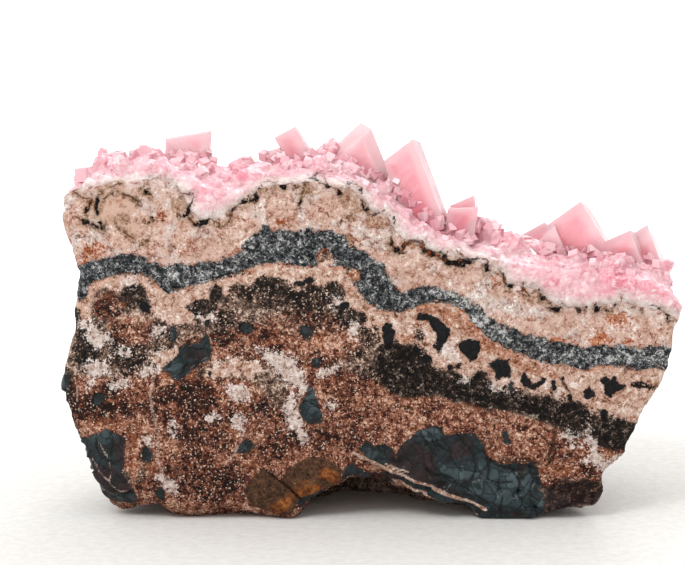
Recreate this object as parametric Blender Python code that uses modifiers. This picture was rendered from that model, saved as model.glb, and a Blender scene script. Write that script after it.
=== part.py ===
"""A banded rock specimen with a crust of pink rhombic crystals on its top.

Run with: blender --background --python part.py
Units are metres; lists of places are written in millimetres and scaled by MM.
+X runs along the cut face, +Y goes from the cut face to the back, and +Z is up.
The origin ends up under the middle of the whole specimen, on the surface it rests on.
"""

import math
import random

import bmesh
import bpy
from mathutils import Matrix, Vector, noise

MM = 0.001

# Driving dimensions of the rock
FRONT_Y = -25.0 * MM  # plane of the cut face
DEPTH = 47.0 * MM  # cut face to back, before the broken sides are roughened
VOXEL = 1.2 * MM
BACK_TAPER = 0.13  # share of the width lost between the cut face and the back
EDGE_ROUNDING = 0.028  # share of the width lost at once behind the cut face's rim
RIM_RUN = 0.12  # share of the depth over which that happens
FACE_RELIEF = 0.16  # roughness of the cut face as a share of that of the broken sides
ROUGHNESS = ((17, 3.2, 3.1), (8, 1.9, 7.7), (3.8, 0.9, 11.3))  # size and height in mm, seed
DOME_ROUGHNESS = 0.16  # as a share of the dome's reach
UNDERSIDE_DROP = 4.2 * MM  # how much lower the underside is behind the cut face's rim
UNDERSIDE_RUN = 0.22  # share of the depth over which it drops
UNDERSIDE_REACH = 9.0 * MM  # height up to which that drop is felt
ROCK_TRIANGLES = 2500

# Driving dimensions of the crust
GAP = 0.3 * MM  # clearance between pieces that touch
CREST_AT = 0.2  # where the crust is highest, as a share of the depth
FRONT_DROP = 2.2 * MM  # how much lower the crust is at the cut face
BACK_DROP = 6.0 * MM  # how much lower the crust is at the back
BACK_DROP_FROM = 0.35  # where that fall begins, as a share of the depth
CRUST_THICKNESS = 5.2 * MM  # behind the cut face
CRUST_THINNEST = 3.6 * MM  # behind the cut face
SEAM_RUN = 0.3  # share of the depth over which the cut face's seam blends into the rest
CRUST_LUMPS = (7.0 * MM, 1.1 * MM)  # size and height
ROCK_LUMPS = (9.0 * MM, 0.6 * MM)
CREST_GRID = (30, 9)  # columns and rows of the surfaces that shape the crust's top
SEAM_GRID = (60, 8)  # and its underside
CUTTER_HALF_WIDTH = 66.0 * MM  # the cutters that trim the block reach past it all round
CUTTER_HALF_DEPTH = 33.0 * MM
CUTTER_TOP = 120.0 * MM
FRONT_CRYSTALS = 112
FRONT_CRYSTAL_SIZE = (2.0 * MM, 4.2 * MM)
FRONT_STRIP = 17.0 * MM  # depth of the strip behind the cut face where they stand
REAR_CRYSTALS = 76
REAR_CRYSTAL_SIZE = (3.4 * MM, 6.2 * MM)
STREWN_HALF_WIDTH = 57.0 * MM
DEEPEST = 2.0 * MM  # how far the most sunken of them goes into the crust
RHOMB_SQUASH = 0.78  # a cube squashed along its diagonal is a rhombohedron

# Outline of the cut face, from the top left down the left side and up the right side (x, z).
# It starts and ends above the crust, where the block is trimmed later.
OUTLINE = [
    (-53, 88), (-56, 74), (-58.3, 69), (-59.8, 65.9), (-60.5, 62.5), (-59.5, 59), (-58.6, 53.5),
    (-57, 49.3), (-57.4, 47.1), (-58.6, 44.6), (-57.9, 37.5), (-59.7, 33.2), (-61.4, 28),
    (-60.7, 23.7), (-58.7, 17.7), (-55.9, 11.7), (-54.8, 7.3), (-51.5, 4.2), (-44, 4),
    (-41, 2.4), (-34, 1.7), (-24, 1.5), (-17, 0.2), (-8, -1.2), (26, -1.2), (31, -0.8),
    (34.4, 1.8), (38.3, 2.6), (44, 3.4), (46, 6.1), (44.8, 9.3), (48.7, 11.9), (51.3, 15.7),
    (52, 18.9), (54.2, 23.5), (56.5, 26), (58.4, 30.4), (59.1, 33.9), (59.2, 37.9), (59.9, 41.4),
    (60.6, 45), (60.2, 49), (57.7, 53.5), (55.5, 60), (54, 88),
]  # fmt: skip

# Top of the rock along the cut face, where the crust begins (x, z)
ROCK_TOP = [
    (-64, 65.2), (-58, 65.7), (-53.2, 66.3), (-48.7, 67.1), (-43.7, 67.3), (-39.2, 66.7), (-36, 64.8),
    (-35, 60.2), (-33.3, 58.6), (-31.2, 59), (-27.3, 61.3), (-25.2, 63), (-22.7, 64.8), (-20.6, 66.3),
    (-15.2, 66.4), (-11, 67), (-6.8, 65.4), (-4, 65.9), (-1.9, 63.2), (0.1, 60.8), (2.9, 60.5),
    (4.2, 57.8), (5.2, 53.2), (6.6, 54.8), (9.6, 54.8), (11.3, 53.2), (17.3, 52.2), (23.4, 50.6),
    (25.2, 48.9), (26.4, 46.5), (31.6, 45.8), (35.2, 42.5), (42.6, 42), (47.8, 43.7), (50.2, 42.7),
    (55.9, 41.8), (58.2, 40.1), (64, 39.8),
]  # fmt: skip

# Crest of the crust between its larger crystals (x, z)
CREST = [
    (-64, 60), (-59, 63.2), (-57, 65.2), (-54.6, 67), (-50, 68.2), (-43.7, 68.8), (-35, 68), (-31, 67.4),
    (-28.5, 66), (-23.6, 67.4), (-19, 68.8), (-9.2, 68.8), (-4.5, 67.6), (0.3, 65.2), (5.1, 61.6),
    (10.9, 57.8), (15.7, 55.4), (22, 53.8), (29.8, 51.8), (40, 50.9), (51.4, 49.4), (56.1, 48),
    (58.4, 46), (60.3, 42.8), (64, 39),
]  # fmt: skip

# Fracture planes of the broken sides and back: a point on each and its outward direction
FRACTURES = [
    ((-47, 21, 30), (-0.72, 0.66, 0.2)),
    ((48, 19, 30), (0.7, 0.7, -0.12)),
    ((0, 20, 6), (0.08, 0.78, -0.62)),
    ((-22, 24, 45), (-0.16, 0.97, 0.2)),
    ((26, 22, 35), (0.22, 0.95, 0.22)),
    ((-56, 5, 20), (-0.85, 0.35, -0.4)),
    ((44, 2, 4), (0.66, 0.2, -0.72)),
    ((-47, 8, 2), (-0.5, 0.3, -0.81)),
]

# Large crystals: a corner, then the three edges that leave it, all (x, y, z)
LARGE_CRYSTALS = {
    "tabular_crystal": [
        ((-32, -6, 74.7), (-9.3, 2, -1.7), (-0.5, 10, -0.7), (-0.6, -1, -10.5)),
    ],
    "small_plate_crystal": [
        ((-44.1, -9, 71.8), (-4.3, 1, -0.8), (-0.5, 6, -0.5), (0.2, -0.3, -6.5)),
    ],
    "tilted_block_crystals": [
        ((-15.3, -9, 75.9), (-4.2, 1, -2.3), (0.5, 7.5, -0.9), (5, -1.8, -8.2)),
        ((-18.4, -12, 72), (-3.6, 1, -1.1), (0.2, 7, -0.6), (3.4, -1.4, -5.6)),
    ],
    "left_peak_crystal": [
        ((-0.2, -11, 75.6), (-7, 1, -6.4), (-2, 9.5, 0.5), (3.6, -1.2, -8.8)),
    ],
    "main_peak_crystals": [
        ((7.9, -16, 74.2), (-5.8, 1.5, -4.6), (1.7, 8, -1.5), (6.1, -3.3, -16.2)),
        ((20.6, -18, 61), (-5.9, 1, -0.4), (0.7, 6, -0.6), (-0.9, -1, -6.6)),
        ((20.1, -12, 62.6), (-4.7, 1, -2.2), (0.9, 5, -0.8), (0.6, -1, -4.6)),
    ],
    "right_peak_crystals": [
        ((41.1, -13, 61.6), (-6.6, 2, -5.2), (2.4, 9, -1.9), (5.9, -2.3, -9.6)),
        ((35.8, -14, 56.9), (-2.8, 1, -3.3), (1.8, 6, -1), (2.6, -1.2, -6.2)),
        ((50.6, -16, 56.2), (-5.3, 1, -2.6), (2, 6, -1.4), (2.6, -1.2, -7)),
        ((54.5, -11, 56.6), (-3.4, 1, -2.4), (2.2, 7, -1.9), (2.6, -1.2, -7)),
    ],
    "rear_left_crystal": [
        ((-38, 9, 68.5), (-5.2, 1.6, -2.6), (1.8, 6.4, -1.9), (2, -2.2, -7.4)),
    ],
    "rear_middle_crystal": [
        ((4, 12, 66), (-5.6, 0.6, -3.8), (0.6, 6.2, -3), (4.2, -1.8, -7.6)),
    ],
    "rear_right_crystal": [
        ((36, 9, 54.5), (-5, 1.2, -3), (2.2, 5.6, -2.2), (3.4, -1.6, -6.6)),
    ],
}

# Crystals of middle size that are grown into the crust
CRUST_CRYSTALS = [
    ((-53.3, -16, 70.4), (-3, 1, -3.1), (0.2, 6, -0.8), (1.9, -1, -4)),
    ((-50.1, -14, 71.2), (-3.1, 1, -2.2), (0.4, 6, -0.8), (2.4, -1, -4)),
    ((27, -18, 56.2), (-1.7, 1, -2.9), (1.7, 4, -0.9), (3, 0, -4)),
    ((22.8, -16, 57), (-3.5, 1, -0.9), (1.2, 6, -0.9), (1.9, -1, -3.6)),
    ((-24.5, -13, 70.6), (-2.6, 0.8, -2.2), (0.4, 5, -0.6), (2, -1, -3.4)),
    ((56.8, -17, 50.4), (-3.2, 1, -1.9), (1.2, 5, -1.2), (1.6, -1, -4)),
]

# The hollow that arches over the surface, under the cut face: two domes (middle, half-size)
ARCH_DOMES = [
    ((-1.5, -26, -0.6), (13.5, 25, 9.4)),
    ((11, -26, -0.6), (10, 17, 4.8)),
]


def clear_scene():
    for obj in list(bpy.data.objects):
        bpy.data.objects.remove(obj)


def new_collection(name):
    collection = bpy.data.collections.new(name)
    bpy.context.scene.collection.children.link(collection)
    return collection


def material(name, colour, roughness, transmission):
    made = bpy.data.materials.new(name)
    made.use_nodes = True
    shader = made.node_tree.nodes["Principled BSDF"]
    shader.inputs["Base Color"].default_value = (*colour, 1.0)
    shader.inputs["Roughness"].default_value = roughness
    shader.inputs["Metallic"].default_value = 0.0
    shader.inputs["Transmission Weight"].default_value = transmission
    return made


def add_piece(name, mesh, finish):
    mesh.materials.clear()
    mesh.materials.append(finish)
    obj = bpy.data.objects.new(name, mesh)
    specimen.objects.link(obj)
    return obj


def add_cutter(name, mesh):
    obj = bpy.data.objects.new(name, mesh)
    cutters.objects.link(obj)
    obj.hide_render = True
    obj.display_type = "WIRE"
    return obj


def evaluated_mesh(obj):
    """A new mesh of the object as its modifiers leave it."""
    bpy.context.view_layer.update()
    graph = bpy.context.evaluated_depsgraph_get()
    return bpy.data.meshes.new_from_object(obj.evaluated_get(graph), depsgraph=graph)


def apply_modifiers(obj):
    mesh = evaluated_mesh(obj)
    obj.modifiers.clear()
    obj.data = mesh


def boolean(obj, other, operation, other_crosses_itself=False):
    modifier = obj.modifiers.new(operation.lower(), "BOOLEAN")
    modifier.operation = operation
    modifier.object = other
    modifier.solver = "EXACT"
    modifier.use_self = other_crosses_itself
    apply_modifiers(obj)


def height_along(points, x):
    """Height of a line of (x, z) points, in metres, at x."""
    x_mm = x / MM
    for (x0, z0), (x1, z1) in zip(points, points[1:]):
        if x_mm <= x1:
            break
    share = min(max((x_mm - x0) / (x1 - x0), 0.0), 1.0)
    return (z0 + (z1 - z0) * share) * MM


def smoothed_height(points, x, reach):
    """Mean height of the line within reach of x."""
    steps = 6
    offsets = [reach * (2 * i / steps - 1) for i in range(steps + 1)]
    return sum(height_along(points, x + offset) for offset in offsets) / len(offsets)


def ease(value):
    value = min(max(value, 0.0), 1.0)
    return value * value * (3 - 2 * value)


def depth_share(y):
    return (y - FRONT_Y) / DEPTH


def lumps(x, y, size_and_height):
    size, height = size_and_height
    return height * noise.noise(Vector((x, y, 0.0)) / size)


def crust_height(x, y):
    """Top of the crust between its crystals."""
    share = depth_share(y)
    height = smoothed_height(CREST, x, 2.0 * MM)
    height -= FRONT_DROP * (1 - ease(share / CREST_AT))
    height -= BACK_DROP * ease((share - BACK_DROP_FROM) / (1 - BACK_DROP_FROM))
    return height + lumps(x, y, CRUST_LUMPS) * ease(share / (CREST_AT / 2))


def rock_height(x, y):
    """Top of the rock, under the crust."""
    behind = ease(depth_share(y) / SEAM_RUN)
    in_front = height_along(ROCK_TOP, x)
    crust = crust_height(x, y)
    deeper = min(smoothed_height(ROCK_TOP, x, 5.0 * MM), crust - CRUST_THICKNESS)
    deeper = min(deeper + lumps(x, y, ROCK_LUMPS), crust - CRUST_THINNEST)
    return in_front + (deeper - in_front) * behind


def steepness(height, x, y):
    """How much longer a slope is than its plan at (x, y), no more than three times."""
    step = 0.5 * MM
    across = (height(x + step, y) - height(x - step, y)) / (2 * step)
    along = (height(x, y + step) - height(x, y - step)) / (2 * step)
    return min(math.sqrt(1 + across**2 + along**2), 3.0)


def block_above(height, grid, clearance, name):
    """A block whose underside follows height(x, y), at a clearance from it."""
    shape = bmesh.new()
    bmesh.ops.create_grid(shape, x_segments=grid[0], y_segments=grid[1], size=1.0)
    for vert in shape.verts:
        x = vert.co.x * CUTTER_HALF_WIDTH
        y = FRONT_Y + DEPTH / 2 + vert.co.y * CUTTER_HALF_DEPTH
        inside = min(max(y, FRONT_Y), FRONT_Y + DEPTH)
        z = height(x, inside) + clearance * steepness(height, x, inside)
        vert.co = Vector((x, y, z))
    bmesh.ops.triangulate(shape, faces=list(shape.faces), quad_method="FIXED")
    grown = bmesh.ops.extrude_face_region(shape, geom=list(shape.faces))
    for vert in (item for item in grown["geom"] if isinstance(item, bmesh.types.BMVert)):
        vert.co.z = CUTTER_TOP
    bmesh.ops.recalc_face_normals(shape, faces=list(shape.faces))
    mesh = bpy.data.meshes.new(name)
    shape.to_mesh(mesh)
    shape.free()
    return add_cutter(name, mesh)


def outline_block():
    """The cut face's outline, extruded to the back."""
    curve = bpy.data.curves.new("face_outline", "CURVE")
    curve.dimensions = "2D"
    curve.fill_mode = "BOTH"
    curve.extrude = DEPTH / 2
    spline = curve.splines.new("POLY")
    spline.points.add(len(OUTLINE) - 1)
    for point, (x, z) in zip(spline.points, OUTLINE):
        point.co = (x * MM, z * MM, 0.0, 1.0)
    spline.use_cyclic_u = True
    guide = bpy.data.objects.new("face_outline", curve)
    cutters.objects.link(guide)
    guide.rotation_euler = (math.pi / 2, 0, 0)
    guide.location.y = FRONT_Y + DEPTH / 2
    mesh = evaluated_mesh(guide)
    mesh.transform(guide.matrix_world)
    bpy.data.objects.remove(guide)
    shape = bmesh.new()
    shape.from_mesh(mesh)
    bmesh.ops.remove_doubles(shape, verts=list(shape.verts), dist=1e-6)
    bmesh.ops.recalc_face_normals(shape, faces=list(shape.faces))
    shape.to_mesh(mesh)
    shape.free()
    return mesh


def break_off(mesh):
    """Cuts the block along its fracture planes and closes each cut."""
    shape = bmesh.new()
    shape.from_mesh(mesh)
    for place, outward in FRACTURES:
        everything = list(shape.verts) + list(shape.edges) + list(shape.faces)
        cut = bmesh.ops.bisect_plane(
            shape,
            geom=everything,
            plane_co=Vector(place) * MM,
            plane_no=Vector(outward).normalized(),
            clear_outer=True,
        )
        edges = [item for item in cut["geom_cut"] if isinstance(item, bmesh.types.BMEdge)]
        bmesh.ops.contextual_create(shape, geom=edges)
    bmesh.ops.triangulate(shape, faces=list(shape.faces))
    bmesh.ops.recalc_face_normals(shape, faces=list(shape.faces))
    shape.to_mesh(mesh)
    shape.free()


def roughness_at(place):
    """How far noise moves a point of the broken rock, as a vector."""
    moved = Vector((0, 0, 0))
    for size, height, seed in ROUGHNESS:
        at = place / (size * MM)
        parts = [noise.noise(at + Vector((seed, 31.7 * axis, -seed))) for axis in range(3)]
        moved += Vector(parts) * height * MM
    return moved


def weather(mesh):
    """Narrows the block towards its back and roughens it; the cut face stays nearly flat."""
    for vert in mesh.vertices:
        place = vert.co.copy()
        share = depth_share(place.y)
        behind = ease(share / RIM_RUN)
        place.x *= 1 - BACK_TAPER * max(share, 0.0) ** 1.5 - EDGE_ROUNDING * behind
        lowered = ease(share / UNDERSIDE_RUN) * ease(1 - vert.co.z / UNDERSIDE_REACH)
        place.z -= UNDERSIDE_DROP * lowered
        amount = FACE_RELIEF + (1 - FACE_RELIEF) * behind
        place += roughness_at(vert.co) * amount
        vert.co = place


def even_out(obj):
    """Remakes the surface with triangles of one size, closed all over."""
    remesh = obj.modifiers.new("even", "REMESH")
    remesh.mode = "VOXEL"
    remesh.voxel_size = VOXEL
    apply_modifiers(obj)


def rough_block():
    """The broken block of rock, with its arch and its flat feet, taller than the crust."""
    mesh = outline_block()
    break_off(mesh)
    block = add_cutter("rough_block", mesh)
    even_out(block)
    weather(block.data)
    for middle, half in ARCH_DOMES:
        boolean(block, dome(Vector(middle) * MM, Vector(half) * MM), "DIFFERENCE")
    even_out(block)
    thin = block.modifiers.new("thin", "DECIMATE")
    block.data.calc_loop_triangles()
    thin.ratio = ROCK_TRIANGLES / len(block.data.loop_triangles)
    thin.use_collapse_triangulate = True
    apply_modifiers(block)
    boolean(block, ground_block(), "DIFFERENCE")
    return block


def dome(middle, half):
    """An uneven dome that hollows out the underside."""
    shape = bmesh.new()
    bmesh.ops.create_icosphere(shape, subdivisions=3, radius=1.0)
    for vert in shape.verts:
        uneven = 1 + DOME_ROUGHNESS * noise.noise(vert.co * 1.7 + middle / MM)
        vert.co = Vector(c * reach * uneven for c, reach in zip(vert.co, half))
    mesh = bpy.data.meshes.new("dome")
    shape.to_mesh(mesh)
    shape.free()
    mesh.transform(Matrix.Translation(middle))
    return add_cutter("dome", mesh)


def ground_block():
    """Everything below the surface that the specimen rests on."""
    shape = bmesh.new()
    side = 4 * DEPTH
    bmesh.ops.create_cube(shape, size=side)
    mesh = bpy.data.meshes.new("ground")
    shape.to_mesh(mesh)
    shape.free()
    mesh.transform(Matrix.Translation((0, 0, -side / 2)))
    return add_cutter("ground", mesh)


def add_parallelepiped(shape, corner, edges, margin=0.0):
    """Adds a cube skewed onto three edges from a corner, with its faces moved out by margin."""
    edges = [Vector(edge) * MM for edge in edges]
    middle = Vector(corner) * MM + sum(edges, Vector()) / 2
    grown = []
    for i, edge in enumerate(edges):
        across = edges[i - 2].cross(edges[i - 1]).normalized()
        thickness = abs(edge.dot(across))
        grown.append(edge * (1 + 2 * margin / thickness))
    skew = Matrix.Identity(4)
    for column, vector in enumerate((*grown, middle)):
        for row in range(3):
            skew[row][column] = vector[row]
    bmesh.ops.create_cube(shape, size=1.0, matrix=skew)


def mesh_of(shape, name):
    bmesh.ops.recalc_face_normals(shape, faces=list(shape.faces))
    mesh = bpy.data.meshes.new(name)
    shape.to_mesh(mesh)
    shape.free()
    return mesh


def large_crystal_mesh(name, blocks, margin=0.0):
    shape = bmesh.new()
    for corner, *edges in blocks:
        add_parallelepiped(shape, corner, edges, margin)
    return mesh_of(shape, name)


def crystal_turn(chance):
    """A turn that leaves a crystal's corner pointing roughly upwards."""
    upright = Vector((1, 1, 1)).rotation_difference(Vector((0, 0, 1)))
    spin = Matrix.Rotation(chance.uniform(0, math.tau), 3, "Z")
    lean = Matrix.Rotation(chance.gauss(0, 0.5), 3, "X") @ Matrix.Rotation(chance.gauss(0, 0.5), 3, "Y")
    return lean @ spin @ upright.to_matrix()


def strew(shape, chance, count, sizes, near, far):
    """Adds rhombic crystals on the crust between two depths, each sunk halfway into it."""
    squash = Matrix.Scale(RHOMB_SQUASH, 3, Vector((1, 1, 1)).normalized())
    for _ in range(count):
        y = chance.uniform(near, far)
        x = chance.uniform(-1, 1) * STREWN_HALF_WIDTH * (1 - BACK_TAPER * depth_share(y) ** 1.5)
        size = chance.uniform(*sizes)
        z = crust_height(x, y) - 0.1 * size - chance.random() ** 3 * DEEPEST
        placed = (crystal_turn(chance) @ squash * size).to_4x4()
        placed.translation = (x, y, z)
        bmesh.ops.create_cube(shape, size=1.0, matrix=placed)


def small_crystals():
    """The crystals of small and middle size that are grown into the crust."""
    chance = random.Random(20)
    shape = bmesh.new()
    for corner, *edges in CRUST_CRYSTALS:
        add_parallelepiped(shape, corner, edges)
    strip_end = FRONT_Y + FRONT_STRIP
    strew(shape, chance, FRONT_CRYSTALS, FRONT_CRYSTAL_SIZE, FRONT_Y + 2.0 * MM, strip_end)
    strew(shape, chance, REAR_CRYSTALS, REAR_CRYSTAL_SIZE, strip_end, FRONT_Y + DEPTH - 3.0 * MM)
    return add_cutter("small_crystals", mesh_of(shape, "small_crystals"))


def keep_largest_body(obj):
    """Drops chips that a cut has left loose."""
    shape = bmesh.new()
    shape.from_mesh(obj.data)
    left, bodies = set(shape.verts), []
    while left:
        body, todo = set(), [left.pop()]
        while todo:
            vert = todo.pop()
            body.add(vert)
            for edge in vert.link_edges:
                other = edge.other_vert(vert)
                if other in left:
                    left.discard(other)
                    todo.append(other)
        bodies.append(body)
    bodies.sort(key=len)
    loose = [vert for body in bodies[:-1] for vert in body]
    bmesh.ops.delete(shape, geom=loose, context="VERTS")
    shape.to_mesh(obj.data)
    shape.free()


def build_rock(block):
    rock = add_piece("matrix_rock", block.data.copy(), rock_finish)
    boolean(rock, block_above(rock_height, SEAM_GRID, 0.0, "above_rock"), "DIFFERENCE")
    keep_largest_body(rock)
    return rock


def build_crust(block, above):
    crust = add_piece("crystal_crust", block.data.copy(), crust_finish)
    boolean(crust, block_above(crust_height, CREST_GRID, 0.0, "above_crust"), "DIFFERENCE")
    boolean(crust, small_crystals(), "UNION", other_crosses_itself=True)
    boolean(crust, above, "INTERSECT")
    for name, blocks in LARGE_CRYSTALS.items():
        for number, one in enumerate(blocks):
            title = f"{name}_pocket_{number}"
            boolean(crust, add_cutter(title, large_crystal_mesh(title, [one], GAP)), "DIFFERENCE")
    keep_largest_body(crust)
    return crust


def build_large_crystals(above):
    for name, blocks in LARGE_CRYSTALS.items():
        crystal = add_piece(name, large_crystal_mesh(name, blocks[:1]), crystal_finish)
        for number, one in enumerate(blocks[1:]):
            title = f"{name}_twin_{number}"
            boolean(crystal, add_cutter(title, large_crystal_mesh(title, [one])), "UNION")
        boolean(crystal, above, "INTERSECT")
        keep_largest_body(crystal)


def centre_on_base():
    """Moves the specimen so that the origin lies under the middle of its bounding box."""
    corners = [vert.co for obj in specimen.objects for vert in obj.data.vertices]
    low = Vector(min(c[i] for c in corners) for i in range(3))
    high = Vector(max(c[i] for c in corners) for i in range(3))
    shift = Vector((-(low.x + high.x) / 2, -(low.y + high.y) / 2, -low.z))
    for obj in specimen.objects:
        obj.data.transform(Matrix.Translation(shift))


clear_scene()
specimen = new_collection("crystal_specimen")
cutters = new_collection("cutters")
cutters.hide_render = True

rock_finish = material("banded rock", (0.36, 0.24, 0.2), 0.8, 0.0)
crust_finish = material("pale pink druse", (0.93, 0.68, 0.73), 0.35, 0.3)
crystal_finish = material("pink crystal", (0.95, 0.47, 0.55), 0.15, 0.5)

rough = rough_block()
above_gap = block_above(rock_height, SEAM_GRID, GAP, "above_rock_with_gap")
build_rock(rough)
build_crust(rough, above_gap)
build_large_crystals(above_gap)
centre_on_base()
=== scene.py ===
import math

import bmesh
import bpy
import numpy as np
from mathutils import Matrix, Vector
from mathutils.bvhtree import BVHTree


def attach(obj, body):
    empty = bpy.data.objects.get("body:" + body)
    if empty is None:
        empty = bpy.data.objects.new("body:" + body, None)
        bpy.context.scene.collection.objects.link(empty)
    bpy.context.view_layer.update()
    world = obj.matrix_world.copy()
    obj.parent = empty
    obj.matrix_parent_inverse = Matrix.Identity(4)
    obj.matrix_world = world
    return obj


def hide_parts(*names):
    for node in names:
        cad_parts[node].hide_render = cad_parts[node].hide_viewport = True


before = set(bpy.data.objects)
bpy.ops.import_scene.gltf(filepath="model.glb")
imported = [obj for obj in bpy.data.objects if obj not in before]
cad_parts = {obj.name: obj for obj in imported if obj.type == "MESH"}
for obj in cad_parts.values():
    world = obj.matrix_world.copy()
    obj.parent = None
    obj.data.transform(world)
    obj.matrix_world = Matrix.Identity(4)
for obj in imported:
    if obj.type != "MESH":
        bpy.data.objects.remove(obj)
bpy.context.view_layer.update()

# Lengths named here are in millimetres, in the frame of the CAD. Blender's own unit is the metre.
MM = 0.001
SEED = 20

# The cut face lies at FACE_Y. Distances from the outlines on it are kept up to REACH either way.
FACE_Y = -24.3
REACH = 2.0

# How finely the rock and the crust are remeshed, and the longest edge on the large crystals.
ROCK_GRID = 0.8
CRUST_GRID = 0.50
CRYSTAL_EDGE = 0.9

# Small rhombs: those grown into the crust, and the clear ones that lie over it, from low to high in size.
# Each is squashed along one diagonal. Those within FAMILY_WIDTH of each other mostly share a turn.
GROWN = {"count": 600, "low": 2.0, "high": 4.2, "at_front": 0.3}
SCATTERED = {"count": 1500, "low": 1.2, "high": 2.8, "at_front": 3.0}
SQUASH = 0.80
FAMILIES = 64
FAMILY_WIDTH = 7.0

# The large crystals in their two shades, and how wide the wear along their edges is.
BLUSH_CRYSTALS = ("tabular_crystal", "left_peak_crystal", "small_plate_crystal", "rear_left_crystal")
BLUSH_WEAR = 0.40
ROSE_CRYSTALS = (
    "tilted_block_crystals", "main_peak_crystals", "right_peak_crystals", "rear_middle_crystal",
    "rear_right_crystal")
ROSE_WEAR = 0.85
CRYSTAL_IOR = 1.6

# The crazing of the metallic masses, in plates to the millimetre along a line.
CRAZING = 0.36

# The camera looks at CAMERA_AIM on the cut face, CAMERA_DIP degrees down. It stands so far off that one
# pixel of a view of this many pixels is PIXEL wide there.
VIEW_WIDTH = 685
VIEW_HEIGHT = 565
PIXEL = 0.193
CAMERA_AIM = (-5.594, -24.261, 47.2)
CAMERA_DIP = 9.0
CAMERA_LENS = 120.0
CAMERA_SENSOR = 36.0
FOCAL = VIEW_WIDTH * CAMERA_LENS / CAMERA_SENSOR
CAMERA_AWAY = PIXEL * FOCAL

# ---- the markings of the cut face ----------------------------------------------------------------
#
# Each marking is written where it shows in the camera's view, in pixels from the upper left corner, and
# the functions here place it on the cut face in millimetres.
# Outlines and paths are lists of points, each as (across, down). Lines of one width start with their half
# width. LINES starts each of its own with a tone, from 0 for black to 1 for rust, and there each point has
# a half width as well.
# Spots are (across, down, half width, half height, turn in degrees, weight). They fade from SPOT_CORE to
# SPOT_RIM, as shares of their half sizes.
SPOT_CORE = 0.55
SPOT_RIM = 1.35


def cut_point(across, down):
    """The place on the cut face, as (x, z), that shows at this place in the view."""
    dip = math.radians(CAMERA_DIP)
    sideways = (across - VIEW_WIDTH / 2) / FOCAL
    upwards = (VIEW_HEIGHT / 2 - down) / FOCAL
    away = CAMERA_AWAY * math.cos(dip) / (math.cos(dip) + upwards * math.sin(dip))
    x = CAMERA_AIM[0] + away * sideways
    z = CAMERA_AIM[2] + CAMERA_AWAY * math.sin(dip) + away * (upwards * math.cos(dip) - math.sin(dip))
    return round(x, 1), round(z, 1)


def line_point(across, down, wide):
    return cut_point(across, down) + (round(wide * PIXEL, 2),)


def placed_path(points):
    return [cut_point(*point) for point in points]


def placed_paths(paths):
    return [placed_path(points) for points in paths]


def placed_lines(lines):
    return [[line_point(across, down, wide) for across, down in points] for wide, points in lines]


def placed_toned_lines(lines):
    return [(tone, [line_point(*point) for point in points]) for tone, points in lines]


def placed_spots(spots):
    return [
        cut_point(across, down) + (round(wide * PIXEL, 1), round(high * PIXEL, 1), turn, weight)
        for across, down, wide, high, turn, weight in spots]


# The dark band: its upper and lower edges from left to right, a curl that joins it, and notches in it.
BAND_TOP = placed_path([
    (20, 262), (60, 272), (81, 264), (95, 260), (109, 256), (131, 253), (148, 260), (166, 266), (192, 264),
    (218, 260), (238, 253), (247, 242), (253, 234), (264, 226), (284, 231), (306, 229), (328, 231),
    (345, 236), (350, 245), (367, 253), (384, 266), (393, 284), (402, 292), (419, 286), (437, 286),
    (459, 293), (476, 304), (491, 318), (507, 327), (522, 332), (538, 337), (552, 341), (568, 343),
    (585, 347), (599, 345), (622, 345), (637, 348), (655, 346), (675, 348), (720, 350),
])
BAND_BOTTOM = placed_path([
    (20, 300), (60, 300), (78, 296), (84, 286), (97, 281), (114, 275), (140, 273), (150, 277), (157, 284),
    (168, 293), (183, 288), (205, 282), (236, 275), (258, 264), (280, 262), (306, 266), (330, 265),
    (345, 266), (354, 284), (367, 301), (380, 310), (402, 312), (415, 306), (437, 301), (459, 306),
    (476, 325), (491, 340), (507, 349), (522, 355), (538, 361), (553, 364), (568, 366), (584, 371),
    (599, 365), (622, 366), (637, 371), (655, 368), (673, 372), (720, 373),
])
BAND_CURL = placed_path([
    (74, 276), (86, 270), (90, 284), (87, 296), (84, 303), (78, 302), (75, 290),
])
NOTCHES = placed_paths([
    [(316, 268), (317, 255), (321, 249), (327, 249), (331, 254), (336, 262), (338, 268)],
    [(348, 271), (353, 267), (359, 272), (360, 280), (354, 283), (349, 279)],
])

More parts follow.
